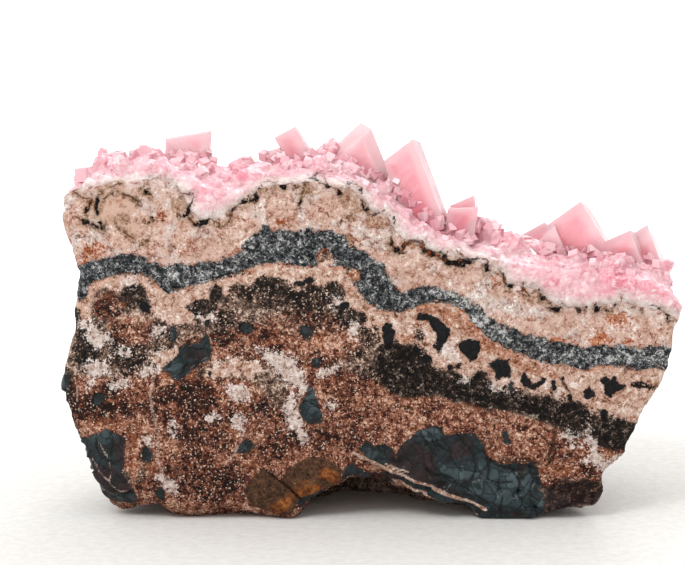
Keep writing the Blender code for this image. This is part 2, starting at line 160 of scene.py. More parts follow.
# The thin crumbly lines along the seam under the crust, and the black clumps that they swell to.
LINES = placed_toned_lines([
    (0.1, [(96, 199, 1.7), (97, 207, 2), (97, 215, 1.6)]),
    (0.1, [(82, 221, 1.6), (89, 224, 2), (94, 226, 1.2), (100, 229, 1.8), (104, 230, 1.2)]),
    (0.2, [(86, 212, 1.8), (91, 205, 1.4)]),
    (0.2, [(98, 222, 0.8), (102, 226, 1.6)]),
    (0.7, [(75, 193, 0.9), (80, 196, 0.8), (88, 199, 1.2), (92, 202, 0.7)]),
    (0.9, [(103, 199, 1.0), (110, 196, 0.9), (117, 193, 0.7), (125, 195, 1.2), (134, 198, 1.3),
     (138, 203, 0.8)]),
    (0.6, [(101, 192, 0.5), (108, 188, 0.5), (120, 184, 0.4)]),
    (0.1, [(145, 192, 1.6), (150, 194, 1.4)]),
    (0.4, [(147, 182, 0.6), (152, 179, 0.7), (157, 178, 0.5)]),
    (0.6, [(168, 183, 0.9), (173, 182, 0.8), (177, 187, 1.0)]),
    (0.1, [(151, 219, 1.4), (152, 218, 1.4)]),
    (0.2, [(149, 223, 1.2), (149.6, 223, 1.2)]),
    (0.5, [(183, 194, 1.1), (193, 194, 1.3), (193, 201, 1.2), (189, 207, 1.6), (187, 215, 1.2),
     (181, 217, 1.5)]),
    (0.2, [(187, 216, 0.9), (193, 222, 1.0), (198, 224, 1.6), (204, 223, 2.2), (210, 220, 1.4)]),
    (0.6, [(210, 220, 0.8), (218, 223, 0.8), (223, 226, 0.6), (229, 222, 0.6), (232, 214, 1.2)]),
    (0.4, [(231, 211, 1.5), (236, 207, 1.8), (241, 204, 1.8), (246, 201, 1.4), (247.5, 195, 1.6)]),
    (0.2, [(247.5, 196, 1.2), (251, 199, 2), (256, 200, 2.2), (257, 193, 1.2), (259, 188, 0.9),
     (265, 189, 0.5)]),
    (0.4, [(259, 187, 0.6), (263, 184, 0.6), (270, 182, 0.7), (277, 182, 0.7)]),
    (0.1, [(281, 186, 2), (284, 188, 1.8)]),
    (0.5, [(277, 185, 0.6), (286, 184, 0.6), (293, 183, 0.8), (295, 188, 0.8)]),
    (0.3, [(300, 203, 1.0), (301, 197, 0.8), (303, 191, 0.9), (306, 184, 0.8), (310, 181, 0.8),
     (315, 179, 1.2), (319, 182, 0.9)]),
    (0.3, [(323, 180, 0.9), (327, 182, 0.9)]),
    (0.1, [(327, 186, 1.2), (329, 188, 1.2)]),
    (0.2, [(331, 187, 0.7), (337, 189, 0.8), (339, 194, 1.4)]),
    (0.4, [(342, 188, 0.9), (347, 184, 1.1), (353, 184, 0.8), (359, 188, 0.8), (362, 193, 1.1),
     (363, 199, 0.9), (362, 206, 1.3)]),
    (0.2, [(362, 204, 1.2), (364, 210, 1.4), (370, 214, 1.2), (376, 213, 1.2), (382, 211, 0.8),
     (386, 211, 0.6), (392, 215, 0.8), (395, 221, 0.9), (394, 229, 0.8), (391, 238, 1.1), (391, 245, 1.6),
     (394, 249, 2.2), (398, 253, 1.4), (403, 253, 1.4)]),
    (0.75, [(403, 250, 1.4), (405, 244, 2.4), (412, 241, 3), (422, 242, 3.2), (424, 249, 2.4),
     (431, 254, 2.6)]),
    (0.2, [(425, 249, 1.4), (434, 254, 2), (442, 258, 1.6), (447, 261, 2.8), (455, 264, 3.2), (463, 262, 3),
     (470, 260, 1.8), (477, 258, 1.4)]),
    (0.3, [(440, 252, 0.8), (445, 255, 1.0), (449, 251, 0.8), (453, 250, 0.8), (460, 252, 1.0),
     (464, 257, 0.9)]),
    (0.3, [(474, 258, 1.2), (481, 259, 1.3), (487, 261, 1.6), (487, 266, 2.2), (486.5, 270, 1.8)]),
    (0.4, [(489, 262, 0.5), (497, 263, 0.5), (501, 267, 0.5), (503, 271, 0.5)]),
    (0.3, [(500, 273, 0.7), (503, 278, 1.0), (504, 284, 1.2), (509, 287, 2.2), (513, 285, 1.6)]),
    (0.6, [(522, 283, 0.8), (524, 290, 1.6), (529, 295, 0.8), (533, 299, 0.7)]),
    (0.5, [(533, 286, 0.7), (539, 291, 1.6), (541, 297, 2.2), (546, 300, 1.6), (550, 303, 0.8)]),
    (0.1, [(549, 307, 0.8), (552, 309, 2.4), (556, 309, 2.2), (560, 307, 1.2)]),
    (0.5, [(561, 303, 0.6), (565, 306, 0.9)]),
    (0.2, [(577, 308, 1.4), (579, 312, 1.4)]),
    (0.3, [(583, 310, 0.9), (587, 307, 0.8)]),
    (0.1, [(595, 304, 1.0), (596, 310, 2), (601, 307, 1.0)]),
    (0.4, [(603, 309, 0.6), (609, 311, 0.9), (614, 308, 0.7)]),
    (0.7, [(619, 303, 0.8), (622, 298, 1.4), (622, 294, 0.8)]),
    (0.4, [(627, 304, 0.5), (632, 306, 0.8)]),
    (0.3, [(641, 311, 0.9), (643, 313, 0.9)]),
    (0.5, [(652, 305, 0.5), (658, 307, 0.9), (662, 308, 0.6)]),
    (0.2, [(664, 311, 0.9), (667, 316, 1.2), (669, 320, 1.0)]),
    (0.5, [(114, 219, 0.5), (117, 226, 0.8), (121, 229, 0.5), (127, 234, 0.8), (134, 239, 0.9)]),
    (0.7, [(143, 245, 0.5), (147, 241, 0.7), (150, 236, 0.4)]),
    (0.4, [(346, 215, 0.9), (352, 217, 1.4)]),
])
CLUMPS = placed_spots([
    (96.7, 201.9, 2, 6, 0, 0.95), (95.9, 211, 2, 3.5, 0, 0.95), (86.8, 209.5, 2.2, 3, 30, 0.95),
    (85.2, 223.3, 5, 2.6, 10, 1), (92.1, 225, 3, 2.6, 20, 0.95), (101.3, 228.2, 4, 2.6, 15, 0.95),
    (99.8, 222.6, 2, 2, 0, 0.9), (146.5, 192.7, 2.8, 1.8, 15, 0.95), (151.8, 218.4, 1.9, 1.9, 0, 0.9),
    (148.8, 222.6, 1.6, 1.6, 0, 0.9), (187.8, 209.5, 2, 5, -15, 0.9), (185.3, 215.7, 2, 2, 0, 0.85),
    (197, 224.1, 3, 1.8, 0, 0.95), (203.9, 222.6, 4.4, 2.8, 0, 1), (209.3, 220.3, 2.5, 1.6, 0, 0.8),
    (231.5, 209.5, 2.2, 2.6, 0, 0.85), (243.7, 201.1, 3.2, 2.4, -30, 0.9), (255.2, 197.3, 4.2, 4, 0, 1),
    (250, 201, 3, 2, 0, 0.8), (282.8, 187.3, 3, 3, 0, 1), (300.2, 200.9, 1.6, 3, 0, 0.85),
    (312.9, 179.7, 6, 1.4, -10, 0.9), (304.6, 184.2, 1.4, 3, 0, 0.85), (327.3, 187.4, 2.4, 2.2, 0, 0.95),
    (339.3, 192.9, 2.2, 3, 0, 0.95), (348, 185, 5, 1.5, 0, 0.85), (360, 189.7, 2.4, 2.2, 0, 0.8),
    (361.8, 206, 1.7, 3.4, 0, 0.9), (366.4, 209.7, 3, 1.8, 20, 0.85), (374.3, 214, 3, 1.8, 0, 0.85),
    (379, 212.2, 2, 1.5, 0, 0.8), (393.5, 218.5, 1.4, 3, 0, 0.8), (391.1, 242.4, 2, 3, 0, 0.9),
    (395.9, 250.6, 3, 2.8, 20, 0.95), (403, 246, 2.4, 2.8, 0, 0.85), (424.6, 251.1, 3.2, 2.8, 0, 0.95),
    (431.8, 254.3, 3.2, 2.4, 0, 0.95), (439.7, 252, 1.5, 1.5, 0, 0.8), (450.9, 263.4, 6, 3, 15, 1),
    (460, 265, 4.4, 3, 0, 1), (467.6, 261.5, 4.4, 2.2, -20, 0.95), (474.5, 259.1, 4, 2, 0, 0.9),
    (444.7, 257, 2, 1.6, 0, 0.9), (486.9, 267.8, 2.2, 4, 0, 1), (502.5, 273.8, 2, 2.6, 0, 0.8),
    (509.5, 287, 3.6, 2.2, -15, 0.95), (522.8, 287.8, 1.7, 2.5, 0, 0.75), (539.2, 290.9, 2.2, 3, 0, 0.85),
    (543.1, 298, 4, 2, 20, 0.85), (554.8, 308.9, 4.6, 2.2, -10, 1), (579, 309.7, 2.2, 2.4, 0, 0.9),
    (586, 308.1, 1.7, 1.7, 0, 0.8), (597, 309.4, 3, 2.8, -30, 0.95), (605.6, 310.5, 1.6, 1.6, 0, 0.8),
    (615, 305.5, 2, 2, 0, 0.7), (658.8, 309.7, 3, 2, 0, 0.75), (667.3, 315.9, 1.6, 3.8, 20, 0.95),
    (651, 305, 1.4, 1.4, 0, 0.7), (270, 196, 2.6, 2, 0, 0.5), (417, 242, 2.5, 2, 0, 0.7),
])

# Outlines: solid black grains, sooty patches, white spar, metallic masses, rubble and rusty plates.
CHARCOAL = placed_paths([
    [(417, 320), (418, 312), (423, 314), (427.6, 313.5), (433, 317), (438.3, 318.9), (444, 323.5),
     (450.5, 331.1), (451.3, 335.7), (447, 340), (444.4, 343.4), (441, 348), (438.5, 354.5), (436, 349.5),
     (432, 348), (436, 342), (437.5, 336), (431.4, 328.1), (427.6, 321.9), (422, 321)],
    [(457.5, 345), (461, 341), (468, 339), (475, 339), (479.5, 342.5), (480.4, 351), (477, 358), (471, 363),
     (466, 359), (464, 355.5), (459, 350)],
    [(489.5, 364), (493, 361), (498, 357.9), (503, 360), (509.4, 359), (510, 366), (512, 374),
     (510.2, 378.6), (504, 377.8), (500, 379), (495.7, 382), (496, 376), (494.9, 370.9), (491, 367)],
    [(382.5, 326), (387, 323), (392.5, 324), (395, 335), (393.5, 344), (389, 347), (385, 345.5),
     (382, 338)],
    [(600.5, 380), (603, 378), (606.6, 375), (610, 379), (614, 376), (617.4, 378.6), (620, 384),
     (625.8, 385.5), (624, 390), (618, 391), (614.3, 395.4), (609.7, 397.7), (606, 395), (604.4, 390),
     (603, 384)],
    [(583.7, 392), (587, 389), (589.5, 385.5), (592, 389), (595.5, 392), (594, 397), (588, 399),
     (584, 397)],
    [(601, 412), (604, 408), (608, 412), (607, 420), (602, 420)],
    [(412, 349), (416, 346), (420, 349), (419, 355), (414, 355.6)],
    [(422, 358), (426, 353.5), (431, 357), (431, 362), (425, 363)],
    [(520.5, 376), (524, 373), (528, 376), (530, 379), (532, 385), (530, 388.5), (525, 387), (521, 382)],
    [(531, 386), (538, 381), (542, 379), (546, 379), (543, 384), (537, 389), (532, 389)],
    [(551, 382), (554, 380), (557, 386), (555.5, 392.5), (552, 390)],
    [(559, 378), (563, 377), (568, 385), (571, 392.5), (567, 391.5), (562, 385)],
    [(447, 366), (451, 364.5), (455, 367), (454, 371), (448, 371)],
    [(455, 364.5), (461, 363), (461, 368), (457, 369.5)],
    [(567, 396), (571, 394), (574, 398), (571, 402), (567, 401)],
    [(293, 283), (297, 280), (301, 281), (305, 278), (311, 277), (314.5, 279), (313, 283.5), (306, 284),
     (302, 286), (297, 285), (294, 287)],
    [(339, 306), (343, 302.5), (349, 302), (349.8, 306), (345, 309.5), (340, 309.8)],
    [(140, 304), (145, 302), (150.8, 307), (150, 314), (145, 312), (140, 309)],
])
SMUT = placed_paths([
    [(257, 281), (262, 278), (268, 278), (276, 280), (284, 282), (287, 288), (284, 295), (277, 293),
     (270, 290), (261, 289)],
    [(209, 288), (215, 286), (221, 290), (223, 296), (229, 298), (229, 303), (219, 302), (212, 300)],
    [(188, 307), (195, 303), (206, 301), (214, 302), (217, 308), (213, 314), (203, 316), (194, 313)],
    [(327, 285), (334, 284), (341, 287), (344.5, 293), (342, 299), (336, 298), (331, 294), (327, 290)],
    [(343, 317), (349, 313.5), (356, 316), (355, 322), (348, 325.5), (344, 322)],
    [(357.5, 313), (362, 311.5), (364.5, 319), (361, 325), (358, 321)],
    [(124, 286), (129, 287), (136.7, 282), (142, 288), (147, 295), (150.8, 307), (149.5, 314), (142, 311),
     (138, 303), (129, 298), (124, 293)],
    [(82, 342), (92, 343), (98.5, 351), (94.6, 356), (89.5, 365), (79, 365), (74, 358), (79, 352)],
    [(78, 330), (85, 328), (91.5, 331), (89, 339), (82, 340.5)],
    [(73, 309), (78, 311), (79, 325), (80, 339), (76, 338), (74, 325)],
    [(67, 376), (72, 372), (74, 384), (73, 398), (68, 402)],
])
WHITE = placed_paths([
    [(256, 346), (264, 352), (275, 354), (288, 355), (298, 359), (299, 371), (305, 380), (308, 385),
     (306, 392), (300, 400), (298, 388), (286, 384), (277, 372), (266, 362), (257, 352)],
    [(283, 405), (290, 404), (294, 408), (300, 415), (303, 428), (306, 440), (301, 442), (295, 430),
     (286, 420)],
    [(226, 386), (231, 384), (236, 387), (243, 387), (249, 394), (248, 401), (240, 402), (232, 396)],
    [(232, 418), (240, 415), (246, 420), (243, 430), (234, 427)],
    [(316, 376), (325, 371), (331, 366), (336, 364), (337, 369), (330, 374), (322, 378)],
    [(79, 319), (86, 317), (89.5, 322), (87, 327), (80, 327)],
    [(91, 326), (98, 325), (101, 331), (104, 334), (110, 334), (111, 339), (104, 341), (101, 347),
     (94, 346), (89, 340), (88, 333)],
    [(84, 366), (92, 362), (102, 362), (108, 366), (106, 373), (96, 376), (87, 374)],
    [(112, 350), (120, 349), (131, 351), (130, 356), (120, 356), (113, 354)],
    [(139, 372), (146, 366), (152, 363), (161, 364), (161, 370), (154, 371), (150, 375), (143, 376)],
    [(107, 384), (115, 379), (128, 378), (129, 383), (120, 388), (110, 388)],
    [(153, 326), (158, 323), (163, 326), (162, 334), (156, 336), (152, 333)],
    [(85, 382), (90, 379), (93, 384), (89, 389)],
    [(143, 437), (148, 436), (150, 443), (149, 450), (145, 446)],
    [(157, 477), (162, 475), (165, 480), (173, 482), (180, 491), (176, 494), (168, 491), (162, 484)],
    [(193, 311), (199, 316), (207, 317), (213, 314), (218, 312), (215, 319), (207, 321), (198, 318)],
    [(562, 434), (567, 433), (577, 441), (579, 446), (571, 443)],
    [(584, 432), (588, 431), (594, 440), (602, 462), (610, 460), (622, 459), (619, 468), (604, 471),
     (596, 466), (586, 463), (580, 461), (590, 460), (592, 452), (586, 442)],
    [(121, 276), (130, 273), (139, 276), (138, 283), (127, 286), (120, 282)],
    [(459, 378), (465, 375), (470, 379), (466, 383), (460, 382)],
    [(443, 345), (450, 339), (457, 341), (456, 349), (461, 357), (455, 361), (447, 360), (441, 353)],
    [(489, 384), (497, 383), (503, 388), (512, 391), (504, 392), (494, 390)],
    [(546, 386), (551, 384), (558, 388), (565, 394), (560, 400), (552, 395)],
    [(332, 296), (336, 296), (339, 303), (336, 308), (332, 304)],
    [(349, 326), (356, 322), (360, 328), (355, 337), (349, 334)],
    [(158, 344), (162, 348), (160, 356), (154, 353)],
    [(168, 424), (173, 420), (176, 428), (173, 437), (169, 433)],
    [(205, 418), (214, 414), (220, 418), (214, 422)],
    [(290, 396), (296, 398), (294, 408), (286, 416), (283, 408)],
    [(326, 404), (331, 400), (335, 408), (331, 414)],
])
STEEL = placed_paths([
    [(400, 447), (418.4, 430.5), (432, 426), (441.3, 427.5), (442.9, 436.6), (458.2, 433.6), (475, 433.6),
     (482.7, 444.3), (487.3, 456.5), (499.5, 464.2), (530, 462.7), (537.8, 467.3), (540.8, 484),
     (553, 490.2), (572, 492), (566, 505), (550, 508), (531.6, 524), (520, 530), (501, 524), (476.5, 518),
     (453.6, 506), (430.6, 503), (400, 484), (378, 484), (352, 476), (338, 484), (300, 506), (296, 502),
     (300, 499), (341, 481), (345, 468), (352, 464), (362, 470), (378, 474), (392, 470), (396, 458)],
    [(359, 448), (366, 443), (374, 446), (385, 444), (395, 452), (396, 466), (384, 468), (368, 460)],
    [(78.8, 440.4), (94.2, 435), (106.2, 429.6), (118.3, 434.3), (125, 439), (125, 456.4), (123, 471.2),
     (130.4, 485.9), (135.7, 497.9), (134, 506), (113, 504), (96, 496), (88, 471.2), (74, 448.4)],
    [(162.2, 368.6), (177.6, 355.9), (180.1, 348.2), (185.2, 344.4), (198, 344.4), (205, 333),
     (209.4, 341.8), (211.4, 349.5), (210.7, 358.4), (199.2, 364.8), (191.6, 371.2), (185.2, 378.8),
     (177.6, 380.1), (169.9, 376.3)],
    [(299.5, 407.2), (309, 387.4), (311.6, 385.5), (314.2, 393.2), (318, 402), (323, 418.7), (319.3, 423.8),
     (307.8, 423.8), (301.4, 416)],
    [(170.5, 327), (174, 326), (176.5, 332), (175.5, 341), (171, 342), (170, 334)],
    [(235, 453), (240, 444), (246, 438), (252, 441), (254, 448), (246, 453)],
    [(142, 452), (145, 446), (150, 450), (153, 458), (150, 463), (144, 461)],
    [(156, 490), (161, 487), (165, 492), (165, 500), (158, 501)],
    [(92, 397), (98, 393), (105, 396), (103, 403), (95, 404)],
    [(58, 371), (64, 369), (68, 376), (67, 390), (68, 401), (58, 404)],
    [(508.7, 383), (512, 380), (514, 384), (513, 391), (509, 390)],
    [(299, 328), (304, 326), (310, 328), (313, 335), (308, 340), (302, 336)],
    [(503, 433), (507, 430), (509, 438), (512, 441), (507, 445), (503, 441)],
    [(239, 327), (245, 323), (252, 326), (250, 333), (242, 333)],
    [(205, 321), (209, 320), (210, 326), (206, 328)],
    [(312, 361), (317, 358), (322, 363), (318, 368), (313, 367)],
])
RUBBLE = placed_paths([
    [(541, 487), (553, 484), (563, 478), (574, 482), (586, 479), (600, 483), (606, 490), (603, 497),
     (594, 506), (575, 506), (556, 510), (545, 512)],
])
PLATES = placed_paths([
    [(262.5, 467.8), (281, 481.2), (300, 499), (290, 517), (270, 512), (252, 507.4), (242.8, 491.4),
     (252, 478)],
    [(281, 481.2), (287.4, 468.4), (309, 455.7), (324.4, 457), (342.2, 468.4), (341, 481.2),
     (301.4, 500.3)],
])

# Lines: sooty threads, pale veins, the two pale ribs by the arch, and cracks.
THREADS = placed_lines([
    (1.0, [(95, 295), (101, 289.5), (107.4, 291), (114, 294.6), (121.4, 301), (126.5, 306)]),
    (0.8, [(105, 300), (107.5, 308), (107, 315), (105, 322)]),
    (1.0, [(97, 323), (102, 327), (107.5, 332), (112, 338), (114, 343)]),
    (0.6, [(94, 303), (92, 312), (95, 320)]),
    (0.6, [(236, 305), (248, 307), (262, 306), (276, 304), (290, 302)]),
    (0.7, [(556, 430), (552, 442), (551, 452), (548, 460)]),
    (0.8, [(500, 459), (512, 462), (528, 461), (538, 464)]),
])
VEINS = placed_lines([
    (1.3, [(156, 372), (152, 383), (150, 396), (152, 410), (156, 424), (158, 437), (157, 452), (160, 466),
     (164, 476), (170, 486)]),
    (0.6, [(95, 436), (102, 448), (108, 458), (111, 472), (109, 484)]),
    (0.7, [(90, 461), (100, 473), (109, 484), (118, 492), (128, 493)]),
    (0.7, [(74, 369), (76, 382), (77, 395), (77, 404)]),
    (1.0, [(244, 432), (240, 444), (233, 456), (223, 467)]),
    (0.7, [(300, 400), (296, 412), (286, 426), (276, 437)]),
    (0.5, [(254, 402), (258, 410), (266, 420), (272, 430)]),
    (0.6, [(313, 386), (317, 396), (322, 410), (326, 424)]),
    (0.6, [(171, 463), (176, 470), (184, 480), (190, 490)]),
    (0.5, [(570, 444), (565, 455), (560, 464), (556, 470)]),
])
STICKS = placed_lines([
    (1.5, [(353, 453), (370, 460.8), (388, 469.7), (402, 475.5), (416, 482), (430.6, 487), (446, 493),
     (461, 499), (486, 509.5)]),
    (1.1, [(386, 465), (397, 469), (408, 472.5)]),
    (1.4, [(393, 481), (406, 487), (419, 492.5), (436, 500.5), (452, 507), (466, 512), (477, 515.5)]),
])
CRACKS = placed_lines([
    (0.8, [(305, 402), (311, 404), (316, 406), (321, 409)]),
    (0.9, [(262.5, 467.8), (272, 474.5), (281, 481.2), (291, 490), (300, 499)]),
    (0.8, [(533, 430), (546, 440), (556, 449), (553, 460), (546, 466)]),
    (0.9, [(420, 434), (426, 442), (432, 452), (431, 462), (436, 470)]),
    (0.7, [(442, 437), (449, 448), (452, 460), (462, 472)]),
    (0.8, [(458, 436), (466, 444), (474, 456), (476, 470), (472, 480)]),
    (0.7, [(486, 458), (489, 470), (487, 480), (497, 484), (512, 482)]),
    (0.9, [(500, 466), (512, 470), (520, 481), (518, 494), (523, 502)]),
    (0.7, [(455, 483), (470, 492), (484, 500), (496, 512)]),
    (0.7, [(497, 484), (503, 496), (500, 508), (502, 520)]),
    (0.7, [(528, 466), (534, 480), (529, 492), (538, 500)]),
    (0.6, [(430, 476), (444, 478), (458, 480)]),
    (0.8, [(97, 438), (96, 448), (101, 458), (112, 464), (122, 460)]),
    (0.8, [(110, 432), (114, 444), (111, 456)]),
])

# Outlines of the pale stone under the band and of the pitchy rock.
PALE = placed_paths([
    [(70, 285), (87, 284), (114, 275), (140, 273), (157, 284), (168, 293), (183, 288), (205, 282),
     (236, 275), (258, 264), (280, 262), (306, 266), (330, 262), (345, 266), (354, 284), (367, 301),
     (380, 310), (402, 312), (415, 306), (437, 301), (459, 306), (476, 321), (494, 334), (515, 345),
     (537, 354), (564, 360), (590, 365), (620, 369), (655, 367), (673, 371), (690, 372), (690, 420),
     (660, 425), (640, 426), (616, 418), (604, 410), (592, 414), (585, 408), (566, 402), (545, 396),
     (523, 390), (500, 386), (470, 378), (445, 372), (428, 364), (410, 352), (396, 343), (384, 345),
     (376, 335), (362, 326), (352, 312), (340, 300), (327, 286), (312, 286), (296, 290), (285, 279),
     (262, 277), (246, 286), (236, 285), (224, 300), (220, 312), (205, 322), (190, 322), (178, 325),
     (168, 324), (160, 316), (150, 314), (148, 300), (142, 290), (130, 286), (118, 290), (108, 290),
     (98, 293), (94, 302), (92, 312), (86, 330), (76, 330), (72, 300)],
    [(209, 372), (222, 362), (240, 358), (258, 362), (262, 372), (250, 378), (232, 376), (215, 380)],
    [(150, 362), (160, 350), (172, 348), (180, 352), (172, 364), (160, 372)],
])
DARK_ZONE = placed_paths([
    [(381, 347), (390, 343), (400, 348), (408, 347), (412, 346), (419, 350), (421, 356), (428, 358),
     (431, 368), (440, 371), (446, 372), (452, 369), (458, 371), (461, 376), (468, 384), (473, 375),
     (480, 372), (486, 373), (490, 381), (493, 391), (504, 393), (512, 396), (520, 395), (530, 398),
     (538, 397), (542, 403), (547, 395), (555, 400), (559, 406), (567, 403), (573, 400), (580, 404),
     (587, 405), (585, 413), (582, 420), (581, 428), (582, 437), (570, 437), (561, 428), (538, 421),
     (522, 413), (507, 412), (492, 411), (472, 406), (455, 400), (440, 394), (421, 395), (405, 398),
     (392, 394), (380, 380), (376, 362)],
    [(589, 424), (594, 418), (600, 418), (604, 414), (608, 420), (616, 420), (622, 421), (632, 424),
     (645, 427.5), (640, 440), (628, 449), (619, 452), (606, 449), (599, 446), (592, 440), (588, 434)],
])

# Spots in the rock that are darker, warmer brown or rusty.
DARK = placed_spots([
    (106, 304, 15, 14, 0, 0.55), (133, 297, 11, 16, -40, 0.9), (203, 307, 17, 9, 5, 0.95),
    (216, 294, 6, 10, -20, 0.95), (246, 292, 14, 9, -20, 0.9), (266, 284, 14, 8, 0, 0.9),
    (278, 296, 24, 9, 5, 0.75), (312, 300, 18, 16, 20, 0.72), (336, 293, 10, 13, 30, 0.9),
    (350, 317, 9, 10, 20, 0.85), (362, 318, 5, 8, 0, 0.8), (335, 320, 20, 14, 0, 0.55),
    (370, 335, 14, 12, 30, 0.6), (86, 353, 14, 14, 0, 1.0), (84, 334, 8, 8, 0, 0.95),
    (77, 318, 4, 12, 0, 0.95), (128, 357, 20, 14, 0, 0.7), (150, 330, 14, 10, 0, 0.35),
    (112, 340, 14, 9, 0, 0.5), (120, 322, 10, 12, 30, 0.45), (200, 318, 10, 8, 0, 0.6),
    (226, 318, 12, 10, 0, 0.5), (245, 328, 9, 6, 0, 0.9), (222, 338, 14, 10, 0, 0.5),
    (275, 349, 9, 5, 0, 0.8), (263, 334, 10, 6, 0, 0.6), (308, 330, 7, 6, 0, 0.7),
    (318, 362, 9, 5, 20, 0.5), (99, 398, 12, 6, 20, 0.7), (110, 388, 9, 7, 0, 0.6),
    (95, 410, 18, 8, 0, 0.35), (195, 397, 20, 22, 10, 0.55), (184, 430, 18, 14, 0, 0.5),
    (205, 440, 26, 24, 0, 0.45), (190, 470, 24, 20, 0, 0.45), (228, 418, 10, 10, 0, 0.4),
    (262, 410, 12, 10, 0, 0.5), (258, 400, 10, 6, 0, 0.4), (270, 450, 16, 12, 10, 0.35),
    (312, 440, 30, 12, -10, 0.5), (345, 398, 20, 10, 30, 0.15), (405, 362, 28, 20, 0, 1.0),
    (400, 376, 24, 14, 0, 0.95), (375, 372, 16, 16, 20, 0.55), (355, 352, 12, 10, 0, 0.5),
    (455, 386, 30, 12, -12, 1.0), (500, 396, 28, 10, -14, 1.0), (545, 408, 28, 10, -15, 1.0),
    (578, 418, 16, 12, -20, 1.0), (612, 434, 24, 14, -15, 1.0), (490, 372, 10, 6, 0, 0.4),
    (128, 408, 24, 8, 0, 0.45), (160, 410, 12, 20, 0, 0.45), (166, 395, 14, 9, 0, 0.45),
    (230, 478, 18, 16, 20, 0.5), (215, 490, 24, 12, 10, 0.5), (146, 455, 7, 10, 0, 0.6),
    (150, 484, 14, 10, 0, 0.45), (330, 432, 12, 6, 0, 0.35), (350, 440, 26, 8, -10, 0.3),
    (590, 470, 12, 8, 0, 0.5), (640, 385, 10, 5, 0, 0.9), (655, 388, 8, 4, 0, 0.5),
    (420, 335, 6, 9, 0, 0.75), (634, 440, 12, 8, 0, 0.9), (85, 405, 24, 14, -20, 0.5),
    (110, 400, 20, 10, 0, 0.5), (100, 415, 30, 8, 0, 0.6), (185, 395, 22, 14, 0, 0.35),
    (70, 395, 6, 20, 0, 0.5),
])
WARM = placed_spots([
    (300, 330, 60, 26, 0, 0.55), (250, 345, 44, 22, 0, 0.6), (130, 330, 34, 20, 0, 0.65),
    (160, 400, 70, 34, 0, 0.9), (110, 425, 40, 22, 0, 0.9), (130, 450, 14, 26, 0, 0.9),
    (200, 460, 60, 44, 0, 1.0), (250, 440, 44, 40, 0, 0.95), (290, 440, 30, 30, 0, 0.8),
    (330, 400, 50, 36, 0, 0.85), (370, 420, 60, 34, 0, 0.95), (440, 415, 60, 20, -10, 1.0),
    (510, 432, 60, 22, -14, 1.0), (565, 455, 40, 24, -20, 0.95), (600, 465, 20, 18, 0, 0.9),
    (300, 360, 40, 20, 0, 0.6), (340, 345, 26, 16, 0, 0.6), (230, 400, 40, 26, 0, 0.8),
    (510, 455, 44, 18, -10, 1.0), (545, 478, 16, 14, 0, 0.9), (100, 300, 20, 20, 0, 0.8),
    (80, 400, 40, 26, 0, 0.9), (110, 395, 26, 16, 0, 0.7), (150, 505, 60, 26, 0, 1.0),
    (230, 505, 90, 26, 0, 1.0), (350, 480, 80, 30, 0, 1.0), (610, 450, 22, 8, 0, 0.9),
    (380, 395, 40, 16, 0, 0.8), (350, 440, 60, 20, 0, 0.9), (200, 350, 30, 20, 0, 0.6),
])
